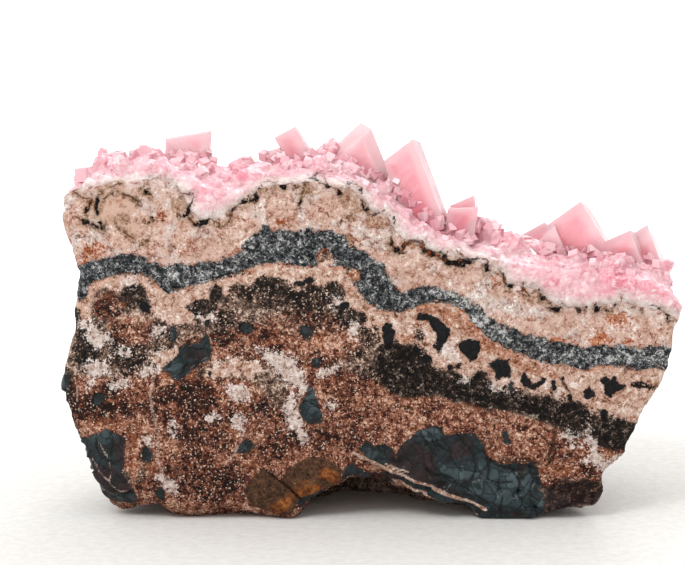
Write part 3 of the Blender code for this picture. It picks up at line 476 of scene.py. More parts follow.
RUST = placed_spots([
    (597, 342, 11, 5, 0, 0.95), (555, 340, 6, 4, 0, 0.9), (627, 342, 6, 4, 0, 0.7),
    (462, 312, 7, 4, 30, 0.8), (415, 305, 9, 4, 0, 0.8), (575, 372, 8, 4, 0, 0.5),
    (94, 250, 14, 9, 20, 0.8), (86, 262, 8, 5, 0, 0.7), (87, 240, 9, 7, 0, 0.5), (83, 222, 6, 6, 0, 0.25),
    (161, 216, 6, 6, 0, 0.8), (188, 250, 10, 5, 0, 0.6), (175, 252, 8, 5, 0, 0.4),
    (166, 246, 9, 5, 0, 0.35), (182, 234, 12, 8, 0, 0.4), (206, 214, 8, 6, 0, 0.4),
    (280, 221, 10, 4, 0, 0.8), (246, 222, 7, 4, 0, 0.5), (305, 217, 8, 4, 0, 0.4), (322, 213, 9, 7, 0, 0.5),
    (345, 221, 10, 6, 0, 0.5), (260, 208, 12, 5, 0, 0.4), (230, 186, 5, 4, 0, 0.3),
    (347, 231, 8, 5, 0, 0.45), (357, 240, 10, 6, 0, 0.5), (372, 226, 10, 9, 0, 0.6),
    (376, 242, 9, 5, 0, 0.35), (279, 252, 5, 5, 0, 0.95), (355, 275, 6, 7, 20, 1.0),
    (320, 232, 4, 3, 0, 0.6), (403, 243, 5, 4, 0, 0.4), (412, 243, 10, 6, 0, 0.9),
    (430, 268, 10, 5, 0, 0.4), (455, 281, 12, 5, 0, 0.3), (497, 280, 8, 8, 0, 0.7),
    (508, 293, 9, 6, 0, 0.5), (540, 293, 10, 9, 30, 0.7), (524, 290, 6, 7, 0, 0.5),
    (530, 316, 10, 7, 0, 0.4), (564, 316, 10, 5, 0, 0.35), (619, 319, 18, 9, 0, 0.85),
    (601, 336, 8, 4, 0, 0.9), (610, 340, 6, 3, 0, 0.8), (632, 340, 6, 3, 0, 0.6), (563, 341, 6, 3, 0, 0.8),
    (556, 343, 5, 2, 0, 0.8), (655, 330, 10, 10, 0, 0.5), (660, 345, 8, 6, 0, 0.4),
    (636, 300, 6, 5, 0, 0.3), (622, 298, 4, 5, 0, 0.9), (676, 320, 5, 10, 0, 0.6),
    (430, 309, 14, 6, 0, 0.9), (450, 318, 16, 9, -35, 0.9), (470, 330, 12, 8, -40, 0.9),
    (420, 320, 8, 10, 0, 0.6), (486, 345, 14, 8, -35, 0.9), (510, 358, 20, 8, -28, 0.95),
    (533, 369, 16, 7, -25, 0.9), (552, 374, 12, 5, -20, 0.8), (406, 338, 9, 7, 0, 0.7),
    (380, 308, 8, 5, 0, 0.35), (345, 290, 6, 8, 0, 0.5), (250, 270, 10, 4, 0, 0.6),
    (240, 280, 5, 5, 0, 0.5), (188, 374, 8, 6, 20, 1.0), (166, 376, 8, 5, 0, 0.8), (226, 354, 6, 4, 0, 0.5),
    (107, 425, 22, 9, 0, 0.6), (132, 445, 7, 14, 0, 0.6), (133, 470, 6, 14, 0, 0.7),
    (148, 470, 6, 10, 0, 0.6), (318, 341, 5, 7, -20, 0.9), (300, 346, 8, 5, 0, 0.5),
    (302, 380, 5, 6, 0, 0.6), (330, 385, 16, 7, 20, 0.4), (466, 365, 10, 4, 0, 0.5),
    (625, 405, 5, 4, 0, 0.5), (633, 420, 4, 4, 0, 0.6), (650, 400, 8, 10, 0, 0.4), (300, 425, 4, 8, 0, 0.7),
    (330, 475, 14, 8, -25, 0.9), (300, 488, 20, 8, 30, 0.6), (280, 506, 14, 8, 20, 0.8),
    (310, 490, 14, 5, 25, 0.9), (250, 468, 14, 12, 0, 0.5), (104, 313, 4, 3, 0, 0.8),
    (122, 305, 5, 4, 0, 0.9), (148, 255, 3, 3, 0, 0.4), (415, 428, 8, 6, 0, 0.6),
    (545, 455, 30, 12, -20, 0.35), (560, 470, 20, 6, 0, 0.6), (612, 452, 14, 6, 0, 0.7),
])

# Spots: dark red ones in the masses, and ones painted lighter there as a painted sheen, smooth bulges and tan
# stains over the band, fading in it.
MAROON = placed_spots([
    (412, 462, 26, 20, -20, 1.0), (436, 480, 26, 10, -20, 0.9), (380, 478, 26, 6, 0, 0.7),
    (462, 448, 12, 16, -30, 0.8), (494, 456, 14, 8, -30, 0.9), (522, 470, 5, 12, 0, 0.8),
    (122, 450, 7, 16, 0, 1.0), (104, 482, 20, 18, 0, 1.0), (124, 488, 10, 12, 0, 0.9),
    (196, 356, 14, 6, 0, 0.7), (196, 368, 12, 5, 0, 0.8), (530, 500, 8, 10, 0, 0.5),
    (470, 500, 20, 6, -20, 0.6), (340, 488, 22, 8, 0, 0.4), (575, 495, 20, 10, 0, 0.8),
    (69, 392, 4, 10, 0, 0.5), (520, 516, 12, 6, 0, 0.6),
])
PAINTED_SHINE = placed_spots([
    (508, 488, 28, 17, -25, 0.9), (470, 470, 17, 12, -20, 0.6), (492, 460, 15, 8, 0, 0.5),
    (528, 500, 14, 12, 0, 0.7), (420, 430, 10, 6, 0, 0.6), (430, 434, 12, 8, -20, 0.8),
    (500, 488, 18, 15, -20, 1.0), (527, 480, 9, 6, 0, 0.9), (449, 476, 14, 11, -30, 0.9),
    (475, 496, 16, 8, -30, 0.7), (372, 456, 10, 6, 0, 0.5), (172, 369, 12, 8, 30, 0.8),
    (101, 437, 15, 9, 0, 0.9), (311, 398, 8, 16, -10, 0.55), (318, 411, 7, 5, 0, 0.4),
    (545, 500, 14, 8, 0, 0.5), (242, 448, 6, 5, 0, 0.5), (60, 388, 6, 16, 0, 0.7), (112, 486, 8, 8, 0, 0.3),
    (172, 333, 3, 6, 0, 0.5),
])
BULGE = placed_spots([
    (115, 212, 19, 15, 0, 1.0), (130, 228, 14, 8, 0, 0.7), (125, 205, 16, 8, 0, 0.8),
    (238, 229, 14, 9, 0, 0.5), (355, 200, 10, 14, 0, 0.6), (270, 200, 30, 8, 0, 0.3),
    (218, 238, 22, 9, 0, 0.4), (440, 270, 16, 6, 0, 0.4),
])
TAN = placed_spots([
    (352, 199, 12, 13, 0, 0.95), (122, 219, 10, 7, 0, 0.8), (181, 206, 13, 11, 0, 0.7),
    (186, 197, 8, 8, 0, 0.7), (270, 191, 14, 5, 0, 0.6), (312, 190, 14, 7, 0, 0.6),
    (384, 222, 8, 9, 0, 0.7), (342, 241, 16, 9, 0, 0.75), (228, 240, 12, 9, 0, 0.5),
    (372, 222, 9, 8, 0, 0.7), (195, 230, 14, 6, 0, 0.4), (243, 204, 12, 6, 0, 0.6),
    (222, 226, 14, 4, 0, 0.5), (260, 188, 6, 5, 0, 0.5), (655, 310, 12, 6, 0, 0.4),
])
FADE = placed_spots([
    (440, 291, 14, 6, 0, 0.8), (462, 301, 14, 7, -25, 1.0), (480, 318, 12, 8, -45, 1.0),
    (500, 335, 14, 6, -30, 0.8), (205, 274, 16, 6, 0, 0.6), (168, 276, 10, 5, 0, 0.5),
    (540, 350, 16, 5, -10, 0.4), (275, 244, 12, 6, 0, 0.4), (575, 358, 26, 8, 0, 0.45),
    (622, 356, 26, 8, 0, 0.5), (660, 358, 16, 8, 0, 0.45),
])

# Spots in the crust that are deeper pink or ochre, and in the large crystals that are deep, and those painted
# paler as painted light coming through the crystals.
BLUSH = placed_spots([
    (146, 172, 12, 10, 0, 0.8), (112, 172, 16, 8, 0, 0.5), (185, 168, 14, 6, 0, 0.7),
    (207, 190, 10, 8, 0, 0.6), (255, 172, 22, 9, 20, 0.9), (284, 172, 12, 6, 0, 0.7),
    (345, 172, 20, 8, 0, 0.7), (372, 182, 14, 6, -30, 0.8), (398, 212, 14, 8, -30, 0.6),
    (440, 222, 14, 7, -20, 0.5), (470, 235, 10, 6, 0, 0.5), (515, 250, 14, 8, 0, 0.5),
    (545, 255, 14, 8, 0, 0.6), (553, 282, 7, 6, 0, 0.9), (600, 268, 26, 9, -10, 0.8),
    (625, 280, 26, 12, -10, 0.9), (655, 292, 16, 10, -20, 0.6), (605, 290, 14, 7, 0, 0.6),
])
OCHRE = placed_spots([
    (173, 159, 9, 4, -8, 0.9), (160, 157, 7, 3, 0, 0.6), (183, 162, 5, 3, 0, 0.5),
])
PAINTED_LIGHT_TIPS = placed_spots([
    (650, 240, 16, 20, 0, 0.9), (437, 180, 7, 34, 25, 0.5), (345, 150, 20, 14, 40, 0.75),
    (413, 150, 10, 12, 0, 0.35), (536, 236, 12, 9, 0, 0.7), (470, 200, 8, 5, 0, 0.5),
    (285, 140, 8, 8, 0, 0.3), (180, 140, 12, 8, 0, 0.2),
])
DEEP = placed_spots([
    (392, 177, 8, 7, 0, 0.8), (405, 200, 16, 12, 0, 0.5), (432, 210, 12, 8, 0, 0.7),
    (612, 252, 14, 10, -20, 0.8), (565, 240, 16, 8, 0, 0.3), (296, 160, 8, 6, 0, 0.5),
])

# Where small clear crystals crowd the feet of the large ones.
FEET = placed_paths([
    [(160, 161), (170, 160), (185, 161), (200, 162), (214, 158)],
    [(262, 160), (275, 161), (287, 166), (300, 162), (311, 156)],
    [(322, 155), (333, 163), (348, 171), (365, 176), (383, 180)],
    [(384, 180), (398, 189), (410, 201), (421, 209), (434, 216), (445, 224)],
    [(443, 224), (450, 233), (462, 239), (474, 236), (483, 226)],
    [(536, 244), (552, 253), (572, 258), (592, 258), (606, 254)],
    [(606, 256), (618, 264), (636, 270), (652, 268), (666, 260)],
])


# ---- numbers on points ---------------------------------------------------------------------------

def smooth(value, low, high):
    share = np.clip((value - low) / (high - low), 0.0, 1.0)
    return share * share * (3.0 - 2.0 * share)


class Waves:
    """Smooth noise from -1 to 1 that is the same at every run."""

    CELLS = 32

    def __init__(self, seed):
        self.table = np.random.default_rng(seed).random((self.CELLS,) * 3) * 2.0 - 1.0

    def __call__(self, points, length):
        places = points / length
        cell = np.floor(places).astype(np.int64)
        share = smooth(places - cell, 0.0, 1.0)
        total = np.zeros(len(points))
        for corner in np.ndindex(2, 2, 2):
            weight = np.prod(np.where(corner, share, 1.0 - share), axis=1)
            index = (cell + corner) % self.CELLS
            total += weight * self.table[index[:, 0], index[:, 1], index[:, 2]]
        return total


class Facets:
    """Flat tilted cells, as a broken or grown surface has: a height, and a random share for each cell."""

    CELLS = 16

    def __init__(self, seed, tilt):
        rng = np.random.default_rng(seed)
        grid = (self.CELLS,) * 3
        self.place = rng.random(grid + (3,))
        self.slope = (rng.random(grid + (3,)) * 2.0 - 1.0) * tilt
        self.share = rng.random(grid)

    def __call__(self, points, length):
        places = points / length
        cell = np.floor(places).astype(np.int64)
        best = np.full(len(points), np.inf)
        height = np.zeros(len(points))
        share = np.zeros(len(points))
        for step in np.ndindex(3, 3, 3):
            index = cell + step - 1
            at = tuple((index % self.CELLS).T)
            away = places - index - self.place[at]
            distance = (away * away).sum(axis=1)
            nearer = distance < best
            best[nearer] = distance[nearer]
            height[nearer] = ((away * self.slope[at]).sum(axis=1) * length)[nearer]
            share[nearer] = self.share[at][nearer]
        return height, share


def to_segment(flat, start, end):
    """The distance of each point from a segment, and the share of the way along it."""
    along = np.array(end[:2]) - np.array(start[:2])
    away = flat - np.array(start[:2])
    share = np.clip(away @ along / max(along @ along, 1e-9), 0.0, 1.0)
    return np.linalg.norm(away - share[:, None] * along, axis=1), share


def inside(flat, polygon):
    """The distance from a closed outline, above nothing inside it."""
    nearest = np.full(len(flat), np.inf)
    within = np.zeros(len(flat), bool)
    for start, end in zip(polygon, polygon[1:] + polygon[:1]):
        nearest = np.minimum(nearest, to_segment(flat, start, end)[0])
        crosses = (start[1] > flat[:, 1]) != (end[1] > flat[:, 1])
        rise = end[1] - start[1] or 1e-9
        crosses &= flat[:, 0] < start[0] + (flat[:, 1] - start[1]) * (end[0] - start[0]) / rise
        within ^= crosses
    return np.where(within, nearest, -nearest)


def around(flat, corners):
    """The points within REACH of the box round these corners."""
    return ((flat > np.min(corners, axis=0) - REACH) & (flat < np.max(corners, axis=0) + REACH)).all(axis=1)


def inside_any(flat, polygons):
    """How far inside the nearest of these outlines each point is."""
    found = np.full(len(flat), -REACH)
    for polygon in polygons:
        near = around(flat, polygon)
        found[near] = np.maximum(found[near], np.clip(inside(flat[near], polygon), -REACH, REACH))
    return found


def inside_lines(flat, lines):
    """How far inside the nearest line each point is, and which line that is."""
    found = np.full(len(flat), -REACH)
    which = np.zeros(len(flat), np.int64)
    for number, line in enumerate(lines):
        for start, end in zip(line, line[1:]):
            near = around(flat, [start[:2], end[:2]])
            distance, share = to_segment(flat[near], start, end)
            value = start[2] + (end[2] - start[2]) * share - distance
            closer = value > found[near]
            index = np.flatnonzero(near)[closer]
            found[index] = value[closer]
            which[index] = number
    return found, which


def below_path(flat, path):
    """The distance from an open path that runs left to right, above nothing under it."""
    nearest = np.full(len(flat), np.inf)
    for start, end in zip(path, path[1:]):
        nearest = np.minimum(nearest, to_segment(flat, start, end)[0])
    height = np.interp(flat[:, 0], [p[0] for p in path], [p[1] for p in path])
    return np.where(flat[:, 1] < height, nearest, -nearest)


def in_spots(flat, spots):
    """How strongly the spots cover each point, from 0 to 1. Their edges are soft."""
    left = np.ones(len(flat))
    for x, z, wide, high, turn, weight in spots:
        c, s = math.cos(math.radians(turn)), math.sin(math.radians(turn))
        away = flat - (x, z)
        u = (away[:, 0] * c + away[:, 1] * s) / wide
        v = (away[:, 1] * c - away[:, 0] * s) / high
        left *= 1.0 - weight * (1.0 - smooth(np.hypot(u, v), SPOT_CORE, SPOT_RIM))
    return 1.0 - left


sway_x, sway_z, swell, grit = Waves(SEED + 1), Waves(SEED + 2), Waves(SEED + 3), Waves(SEED + 4)


def depth_of(points):
    return points[:, 1] - FACE_Y


def by_face(points):
    return 1.0 - smooth(depth_of(points), 3.0, 8.0)


def face_places(points):
    """Where each point reads the face's markings, which run straight back at first and then bend."""
    depth = depth_of(points)
    slow, quick = 5.0 * smooth(depth, 2.0, 26.0), 1.6 * smooth(depth, 0.8, 8.0)
    x = points[:, 0] + slow * sway_x(points, 15.0) + quick * sway_x(points, 4.5)
    z = points[:, 2] + slow * sway_z(points, 13.0) + quick * sway_z(points, 4.0)
    return np.column_stack([x, z])


def wavering(points):
    """The places at which the thin lines are read, pushed about a little so that none runs smoothly."""
    sideways = sway_x(points, 0.9) + 0.6 * sway_z(points, 0.45)
    upwards = sway_z(points, 1.1) + 0.6 * sway_x(points, 0.5)
    return face_places(points) + 0.26 * np.column_stack([sideways, upwards])


def read_lines(points):
    """The distance inside the seam's crumbly lines, and how brown each is. In places they swell to clumps."""
    flat = wavering(points)
    line, which = inside_lines(flat, [path for _, path in LINES])
    clump = in_spots(flat, CLUMPS)
    tone = np.array([tone for tone, _ in LINES])[which]
    tone = np.clip(tone + 0.30 - 0.75 * smooth(clump, 0.15, 0.6), 0.0, 1.0)
    swollen = np.where(clump > 0.48, 0.5, 7.0) * (clump - 0.48)
    return np.maximum(line - 0.06, swollen), tone


LINES_OF = {"vein": VEINS, "stick": STICKS, "crack": CRACKS}
OUTLINES_OF = {
    "white": WHITE,
    "charcoal": CHARCOAL,
    "steel": STEEL,
    "rubble": RUBBLE,
    "plate": PLATES,
    "pale": PALE,
    "pitchy": DARK_ZONE,
}
SPOTS_OF = {"dark": DARK, "warm": WARM, "rust": RUST, "bulge": BULGE, "tan": TAN, "fade": FADE}


def read_markings(points):
    flat = face_places(points)
    top, bottom = below_path(flat, BAND_TOP), below_path(flat, BAND_BOTTOM)
    band = np.minimum(top, -bottom)
    band = np.maximum(band, inside_any(flat, [BAND_CURL]))
    band = np.minimum(band, -inside_any(flat, NOTCHES))
    line, tone = read_lines(points)
    marks = {
        "band": np.clip(band, -REACH, REACH),
        "below": np.clip((top + bottom) / 2, -REACH, REACH),
        "line": line,
        "tone": tone,
        "smut": np.maximum(inside_any(flat, SMUT), inside_lines(flat, THREADS)[0]),
        # The dark red spots, less the spots of painted shine.
        "maroon": in_spots(flat, MAROON) - in_spots(flat, PAINTED_SHINE),
        "depth": depth_of(points),
    }
    for name, lines in LINES_OF.items():
        marks[name] = inside_lines(flat, lines)[0]
    for name, outlines in OUTLINES_OF.items():
        marks[name] = inside_any(flat, outlines)
    for name, spots in SPOTS_OF.items():
        marks[name] = in_spots(flat, spots)
    return marks


# What each mesh keeps on its points for its material, three values to an attribute.
ROCK_STORE = {
    "seams": ("band", "below", "line"),
    "threads": ("tone", "vein", "crack"),
    "masses": ("white", "charcoal", "steel"),
    "tints": ("dark", "warm", "rust"),
    "zones": ("pale", "maroon", "plate"),
    "touches": ("bulge", "tan", "stick"),
    "fillings": ("pitchy", "rubble", "depth"),
    "rind": ("seam", "smut", "fade"),
}
CRUST_STORE = {"crust": ("lift", "blush", "line"), "skin": ("tone", "ochre", "facet")}
CRYSTAL_STORE = {"crystal": ("foot", "painted_glow", "plane")}
POINT_STORE = {"point": ("share", "blush", "low")}


def store(mesh, kept, marks):
    """Keeps these marks on the points of the mesh, under the attributes that kept gives them."""
    for attribute, names in kept.items():
        made = mesh.attributes.new(attribute, "FLOAT_VECTOR", "POINT")
        values = np.column_stack([marks[name] for name in names])
        made.data.foreach_set("vector", values.astype(np.float32).ravel())


# ---- meshes --------------------------------------------------------------------------------------

def points_of(mesh):
    found = np.empty(len(mesh.vertices) * 3)
    mesh.vertices.foreach_get("co", found)
    return found.reshape(-1, 3) / MM


def normals_of(mesh):
    found = np.empty(len(mesh.vertices) * 3, np.float32)
    mesh.vertex_normals.foreach_get("vector", found)
    return found.reshape(-1, 3).astype(float)


def set_points(mesh, points):
    mesh.vertices.foreach_set("co", (points * MM).astype(np.float32).ravel())
    mesh.update()


def new_piece(name, mesh):
    piece = bpy.data.objects.new(name, mesh)
    bpy.context.scene.collection.objects.link(piece)
    return piece


def piece_from(node, name):
    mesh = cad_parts[node].data.copy()
    mesh.materials.clear()
    return new_piece(name, mesh)


def settle(piece):
    """Makes what the modifiers show the piece's own mesh."""
    graph = bpy.context.evaluated_depsgraph_get()
    mesh = bpy.data.meshes.new_from_object(piece.evaluated_get(graph))
    piece.modifiers.clear()
    old, piece.data = piece.data, mesh
    bpy.data.meshes.remove(old)


def remesh(piece, size, rounds):
    grid = piece.modifiers.new("grid", "REMESH")
    grid.mode = "VOXEL"
    grid.voxel_size = size * MM
    if rounds:
        relax = piece.modifiers.new("relax", "SMOOTH")
        relax.iterations = rounds
        relax.factor = 0.5
    settle(piece)


def refine(piece, wanted):
    """Halves the edges of the faces that wanted(centres, normals) picks."""
    mesh = bmesh.new()
    mesh.from_mesh(piece.data)
    faces = list(mesh.faces)
    centres = np.array([face.calc_center_median() for face in faces]) / MM
    normals = np.array([face.normal for face in faces])
    picked = np.flatnonzero(wanted(centres, normals))
    edges = list({edge for index in picked for edge in faces[index].edges})
    bmesh.ops.subdivide_edges(mesh, edges=edges, cuts=1, use_grid_fill=True)
    mesh.to_mesh(piece.data)
    mesh.free()


def finish_piece(piece, material, slot, *nodes):
    piece.data.materials.append(material)
    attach(piece, "root")
    if nodes:
        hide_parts(*nodes)


# ---- shader nodes --------------------------------------------------------------------------------

HALF = (0.5, 0.5, 0.5)


def colour(text):
    """A colour from its six hexadecimal digits."""
    parts = [int(text[i:i + 2], 16) / 255 for i in (0, 2, 4)]
    return tuple(p / 12.92 if p <= 0.04045 else ((p + 0.055) / 1.055) ** 2.4 for p in parts) + (1.0,)


class Sheet:
    """Short names for the nodes of one tree."""

    def __init__(self, tree):
        self.tree = tree

    def node(self, kind, **settings):
        made = self.tree.nodes.new(kind)
        for name, value in settings.items():
            setattr(made, name, value)
        return made

    def feed(self, socket, value):
        if isinstance(value, bpy.types.NodeSocket):
            self.tree.links.new(value, socket)
        else:
            socket.default_value = value

    def math(self, operation, *values):
        made = self.node("ShaderNodeMath", operation=operation)
        for socket, value in zip(made.inputs, values):
            self.feed(socket, value)
        return made.outputs[0]

    def add(self, *values):
        total = values[0]
        for value in values[1:]:
            total = self.math("ADD", total, value)
        return total

    def times(self, a, b):
        return self.math("MULTIPLY", a, b)

    def off(self, value):
        return self.math("SUBTRACT", 1.0, value)

    def most(self, a, b):
        return self.math("MAXIMUM", a, b)

    def swing(self, value, amount):
        """A value from 0 to 1 as a swing about nothing, by up to half of amount each way."""
        return self.times(self.add(value, -0.5), amount)

    def step(self, value, low, high, start=0.0, end=1.0):
        made = self.node("ShaderNodeMapRange", interpolation_type="SMOOTHSTEP")
        for socket, given in zip(made.inputs, (value, low, high, start, end)):
            self.feed(socket, given)
        return made.outputs[0]

    def noise(self, vector, scale, detail=2.0, roughness=0.5, centred=False):
        made = self.node("ShaderNodeTexNoise")
        self.feed(made.inputs["Vector"], vector)
        self.feed(made.inputs["Scale"], scale)
        made.inputs["Detail"].default_value = detail
        made.inputs["Roughness"].default_value = roughness
        value = made.outputs[0]
        return self.math("SUBTRACT", value, 0.5) if centred else value

    def cells(self, vector, scale, feature="F1"):
        made = self.node("ShaderNodeTexVoronoi", feature=feature)
        self.feed(made.inputs["Vector"], vector)
        self.feed(made.inputs["Scale"], scale)
        return made

    def vector(self, operation, *values):
        made = self.node("ShaderNodeVectorMath", operation=operation)
        for socket, value in zip(made.inputs, values):
            self.feed(socket, value)
        return made.outputs

    def split(self, value):
        made = self.node("ShaderNodeSeparateXYZ")
        self.feed(made.inputs[0], value)
        return made.outputs[0], made.outputs[1], made.outputs[2]

    def blend(self, share, a, b):
        made = self.node("ShaderNodeMix", data_type="RGBA")
        for index, value in ((0, share), (6, a), (7, b)):
            self.feed(made.inputs[index], value)
        return made.outputs[2]

    def layered(self, base, *layers):
        """Colours laid over the base in turn, each given as its mask, its strength and the colour."""
        for mask, strength, over in layers:
            base = self.blend(self.times(mask, strength), base, over)
        return base

    def number(self, share, a, b):
        made = self.node("ShaderNodeMix", data_type="FLOAT")
        for index, value in ((0, share), (2, a), (3, b)):
            self.feed(made.inputs[index], value)
        return made.outputs[0]

    def stored(self, name):
        made = self.node("ShaderNodeAttribute", attribute_name=name)
        return self.split(made.outputs["Vector"])

    def place(self):
        """The place on the object, in millimetres."""
        made = self.node("ShaderNodeTexCoord")
        return self.vector("DIVIDE", made.outputs["Object"], (MM, MM, MM))[0]

    def shifted(self, vector, amount, scale, detail=1.0):
        """The place pushed about by noise, by up to about half of amount."""
        made = self.node("ShaderNodeTexNoise")
        self.feed(made.inputs["Vector"], vector)
        made.inputs["Scale"].default_value = scale
        made.inputs["Detail"].default_value = detail
        push = self.vector("SUBTRACT", made.outputs["Color"], HALF)[0]
        return self.vector("MULTIPLY_ADD", push, (amount, amount, amount), vector)[0]

    def group(self, tree, **values):
        made = self.node("ShaderNodeGroup", node_tree=tree)
        for name, value in values.items():
            self.feed(made.inputs[name], value)
        return made.outputs

    def bump(self, height, depth, strength):
        made = self.node("ShaderNodeBump")
        made.inputs["Strength"].default_value = strength
        made.inputs["Distance"].default_value = depth * MM
        self.feed(made.inputs["Height"], height)
        return made.outputs[0]


KINDS = {"v": "NodeSocketVector", "f": "NodeSocketFloat", "c": "NodeSocketColor"}
TONE_NAMES = ("Darkest", "Dark", "Middle", "Light", "Lightest")
TONE_EDGES = (0.17, 0.38, 0.62, 0.84)


def new_group(name, inputs, outputs):
    """A node group with these sockets, each as (name, kind) with kind v, f or c."""
    tree = bpy.data.node_groups.new(name, "ShaderNodeTree")
    for title, kind in inputs:
        tree.interface.new_socket(name=title, in_out="INPUT", socket_type=KINDS[kind])
    for title, kind in outputs:
        tree.interface.new_socket(name=title, in_out="OUTPUT", socket_type=KINDS[kind])
    sheet = Sheet(tree)
    given = sheet.node("NodeGroupInput").outputs
    wanted = sheet.node("NodeGroupOutput").inputs
    return tree, sheet, given, wanted


def grains_group():
    """Grains of mineral: a value from 0 to 1 per grain with clumps in it, a height and the few that glint."""
    tree, s, given, wanted = new_group(
        "mineral_grains",
        [("Place", "v"), ("Density", "f")],
        [("Value", "f"), ("Height", "f"), ("Glint", "f")])
    place = s.shifted(given["Place"], 0.9, 1.3, 2.0)
    cell = s.cells(place, given["Density"])
    red, _, blue = s.split(cell.outputs["Color"])
    fine = s.noise(given["Place"], s.times(given["Density"], 1.6), 3.0, 0.75, centred=True)
    clump = s.noise(given["Place"], s.times(given["Density"], 0.32), 3.0, 0.6, centred=True)
    value = s.add(s.times(red, 0.46), s.times(fine, 1.5), s.times(clump, 1.25), 0.27)
    s.feed(wanted["Value"], value)
    away = s.vector("SUBTRACT", place, cell.outputs["Position"])[0]
    lean = s.vector("SUBTRACT", cell.outputs["Color"], HALF)[0]
    facet = s.vector("DOT_PRODUCT", away, lean)["Value"]
    s.feed(wanted["Height"], s.add(s.times(value, 0.45), s.times(facet, 2.2)))
    s.feed(wanted["Glint"], s.step(blue, 0.90, 0.97))
    return tree


def tones_group():
    """Five tones of one stone, from its darkest grains to its lightest, picked by a value from 0 to 1."""
    tree, s, given, wanted = new_group(
        "stone_tones", [("Value", "f")] + [(name, "c") for name in TONE_NAMES], [("Color", "c")])
    tone = given[TONE_NAMES[0]]
    for edge, name in zip(TONE_EDGES, TONE_NAMES[1:]):
        tone = s.blend(s.step(given["Value"], edge - 0.07, edge + 0.07), tone, given[name])
    s.feed(wanted["Color"], tone)
    return tree


def edges_group():
    """Noise for rough outlines, coarse and fine in millimetres, and slower noise from 0 to 1 for tints."""
    tree, s, given, wanted = new_group(
        "ragged_edges", [("Place", "v")], [("Coarse", "f"), ("Fine", "f"), ("Slow", "f"), ("Middle", "f")])
    place = given["Place"]
    s.feed(wanted["Coarse"], s.times(s.noise(place, 0.62, 5.0, 0.65, centred=True), 2.6))
    s.feed(wanted["Fine"], s.times(s.noise(place, 2.8, 2.0, 0.6, centred=True), 1.2))
    s.feed(wanted["Slow"], s.noise(place, 0.11, 3.0, 0.55))
    s.feed(wanted["Middle"], s.noise(place, 0.42, 4.0, 0.62))
    return tree


def oxide_group():
    """The black and rusty crumbs along the seam, from the stored lines, over whatever colour is given."""
    measures = [(name, "f") for name in ("Line", "Tone", "Coarse", "Value", "Spread")]
    tree, s, given, wanted = new_group(
        "seam_oxide", [("Color", "c"), ("Place", "v")] + measures, [("Color", "c"), ("Mask", "f")])
    crumbs = s.noise(given["Place"], 2.3, 3.0, 0.7, centred=True)
    gaps = s.step(s.noise(given["Place"], 0.55, 2.0, 0.5), 0.46, 0.58)
    inner = s.add(s.times(s.most(given["Line"], 0.0), 5.0), 0.85)
    uneven = s.add(s.times(given["Coarse"], 0.22), s.times(crumbs, inner), s.times(gaps, -0.12))
    mask = s.step(s.add(given["Line"], uneven), -0.08, 0.05)
    near = s.times(s.step(s.add(given["Line"], s.times(given["Coarse"], 0.9)), -1.25, -0.05), given["Spread"])
    specks = s.times(near, s.off(s.step(s.add(given["Value"], s.times(crumbs, 0.9)), 0.33, 0.45)))
    rusty = s.step(s.add(given["Tone"], s.times(given["Coarse"], 0.5), s.times(crumbs, 0.5)), 0.30, 0.70)
    rust = s.blend(s.step(given["Coarse"], -0.3, 0.3), colour("4A2614"), colour("7E3E1C"))
    s.feed(wanted["Color"], s.layered(
        given["Color"],
        (near, 0.58, colour("96714F")),
        (specks, 0.75, colour("40261A")),
        (mask, 1.0, s.blend(rusty, colour("0B0604"), rust)),
    ))
    s.feed(wanted["Mask"], mask)
    return tree


def growth_group():
    """Faint lines and clouds that a crystal keeps from its growth."""
    tree, s, given, wanted = new_group(
        "growth_marks",
        [("Place", "v"), ("Lines", "f")],
        [("Cloud", "f"), ("Height", "f"), ("Veil", "f"), ("Streak", "f")])
    place = given["Place"]
    stretched = s.node("ShaderNodeMapping", vector_type="TEXTURE")
    s.feed(stretched.inputs["Vector"], place)
    stretched.inputs["Rotation"].default_value = (0.2, -0.88, 0.1)
    stretched.inputs["Scale"].default_value = (12.0, 12.0, 1.0)
    lines = s.noise(stretched.outputs[0], given["Lines"], 2.0, 0.5)
    s.feed(wanted["Streak"], s.step(lines, 0.56, 0.66))
    s.feed(wanted["Cloud"], s.noise(place, 0.16, 3.0, 0.55))
    s.feed(wanted["Height"], s.add(s.times(lines, 0.8), s.times(s.noise(place, 0.35, 2.0, 0.5), 0.5)))
    s.feed(wanted["Veil"], s.step(s.noise(s.shifted(place, 4.0, 0.22), 0.30, 4.0, 0.6), 0.55, 0.72))
    return tree


grains, tones, ragged = grains_group(), tones_group(), edges_group()
oxide, growth = oxide_group(), growth_group()


# ---- materials -----------------------------------------------------------------------------------
#
# In these functions s is the material's sheet of nodes, and m is what it reads at each place.

def new_material(name):
    material = bpy.data.materials.new(name)
    material.use_nodes = True
    sheet = Sheet(material.node_tree)
    return material, sheet, material.node_tree.nodes["Principled BSDF"].inputs


class Readings:
    """What a material reads at each place, by name: noises, and the values that its mesh stores."""

    def __init__(self, sheet, kept):
        self.sheet = sheet
        self.place = sheet.place()
        noise = sheet.group(ragged, Place=self.place)
        self.coarse, self.fine, self.slow, self.middle = (
            noise[name] for name in ("Coarse", "Fine", "Slow", "Middle"))
        self.wander = sheet.add(self.middle, -0.5)
        for attribute, names in kept.items():
            for name, value in zip(names, sheet.stored(attribute)):
                setattr(self, name, value)

    def roughened(self, name, **shares):
        """One of these values with shares of others added, to break up the outline that it draws."""
        total = getattr(self, name)
        for other, share in shares.items():
            total = self.sheet.add(total, self.sheet.times(getattr(self, other), share))
        return total

    def cut(self, name, low, high, **shares):
        """A mask that rises from low to high in the roughened value."""
        return self.sheet.step(self.roughened(name, **shares), low, high)


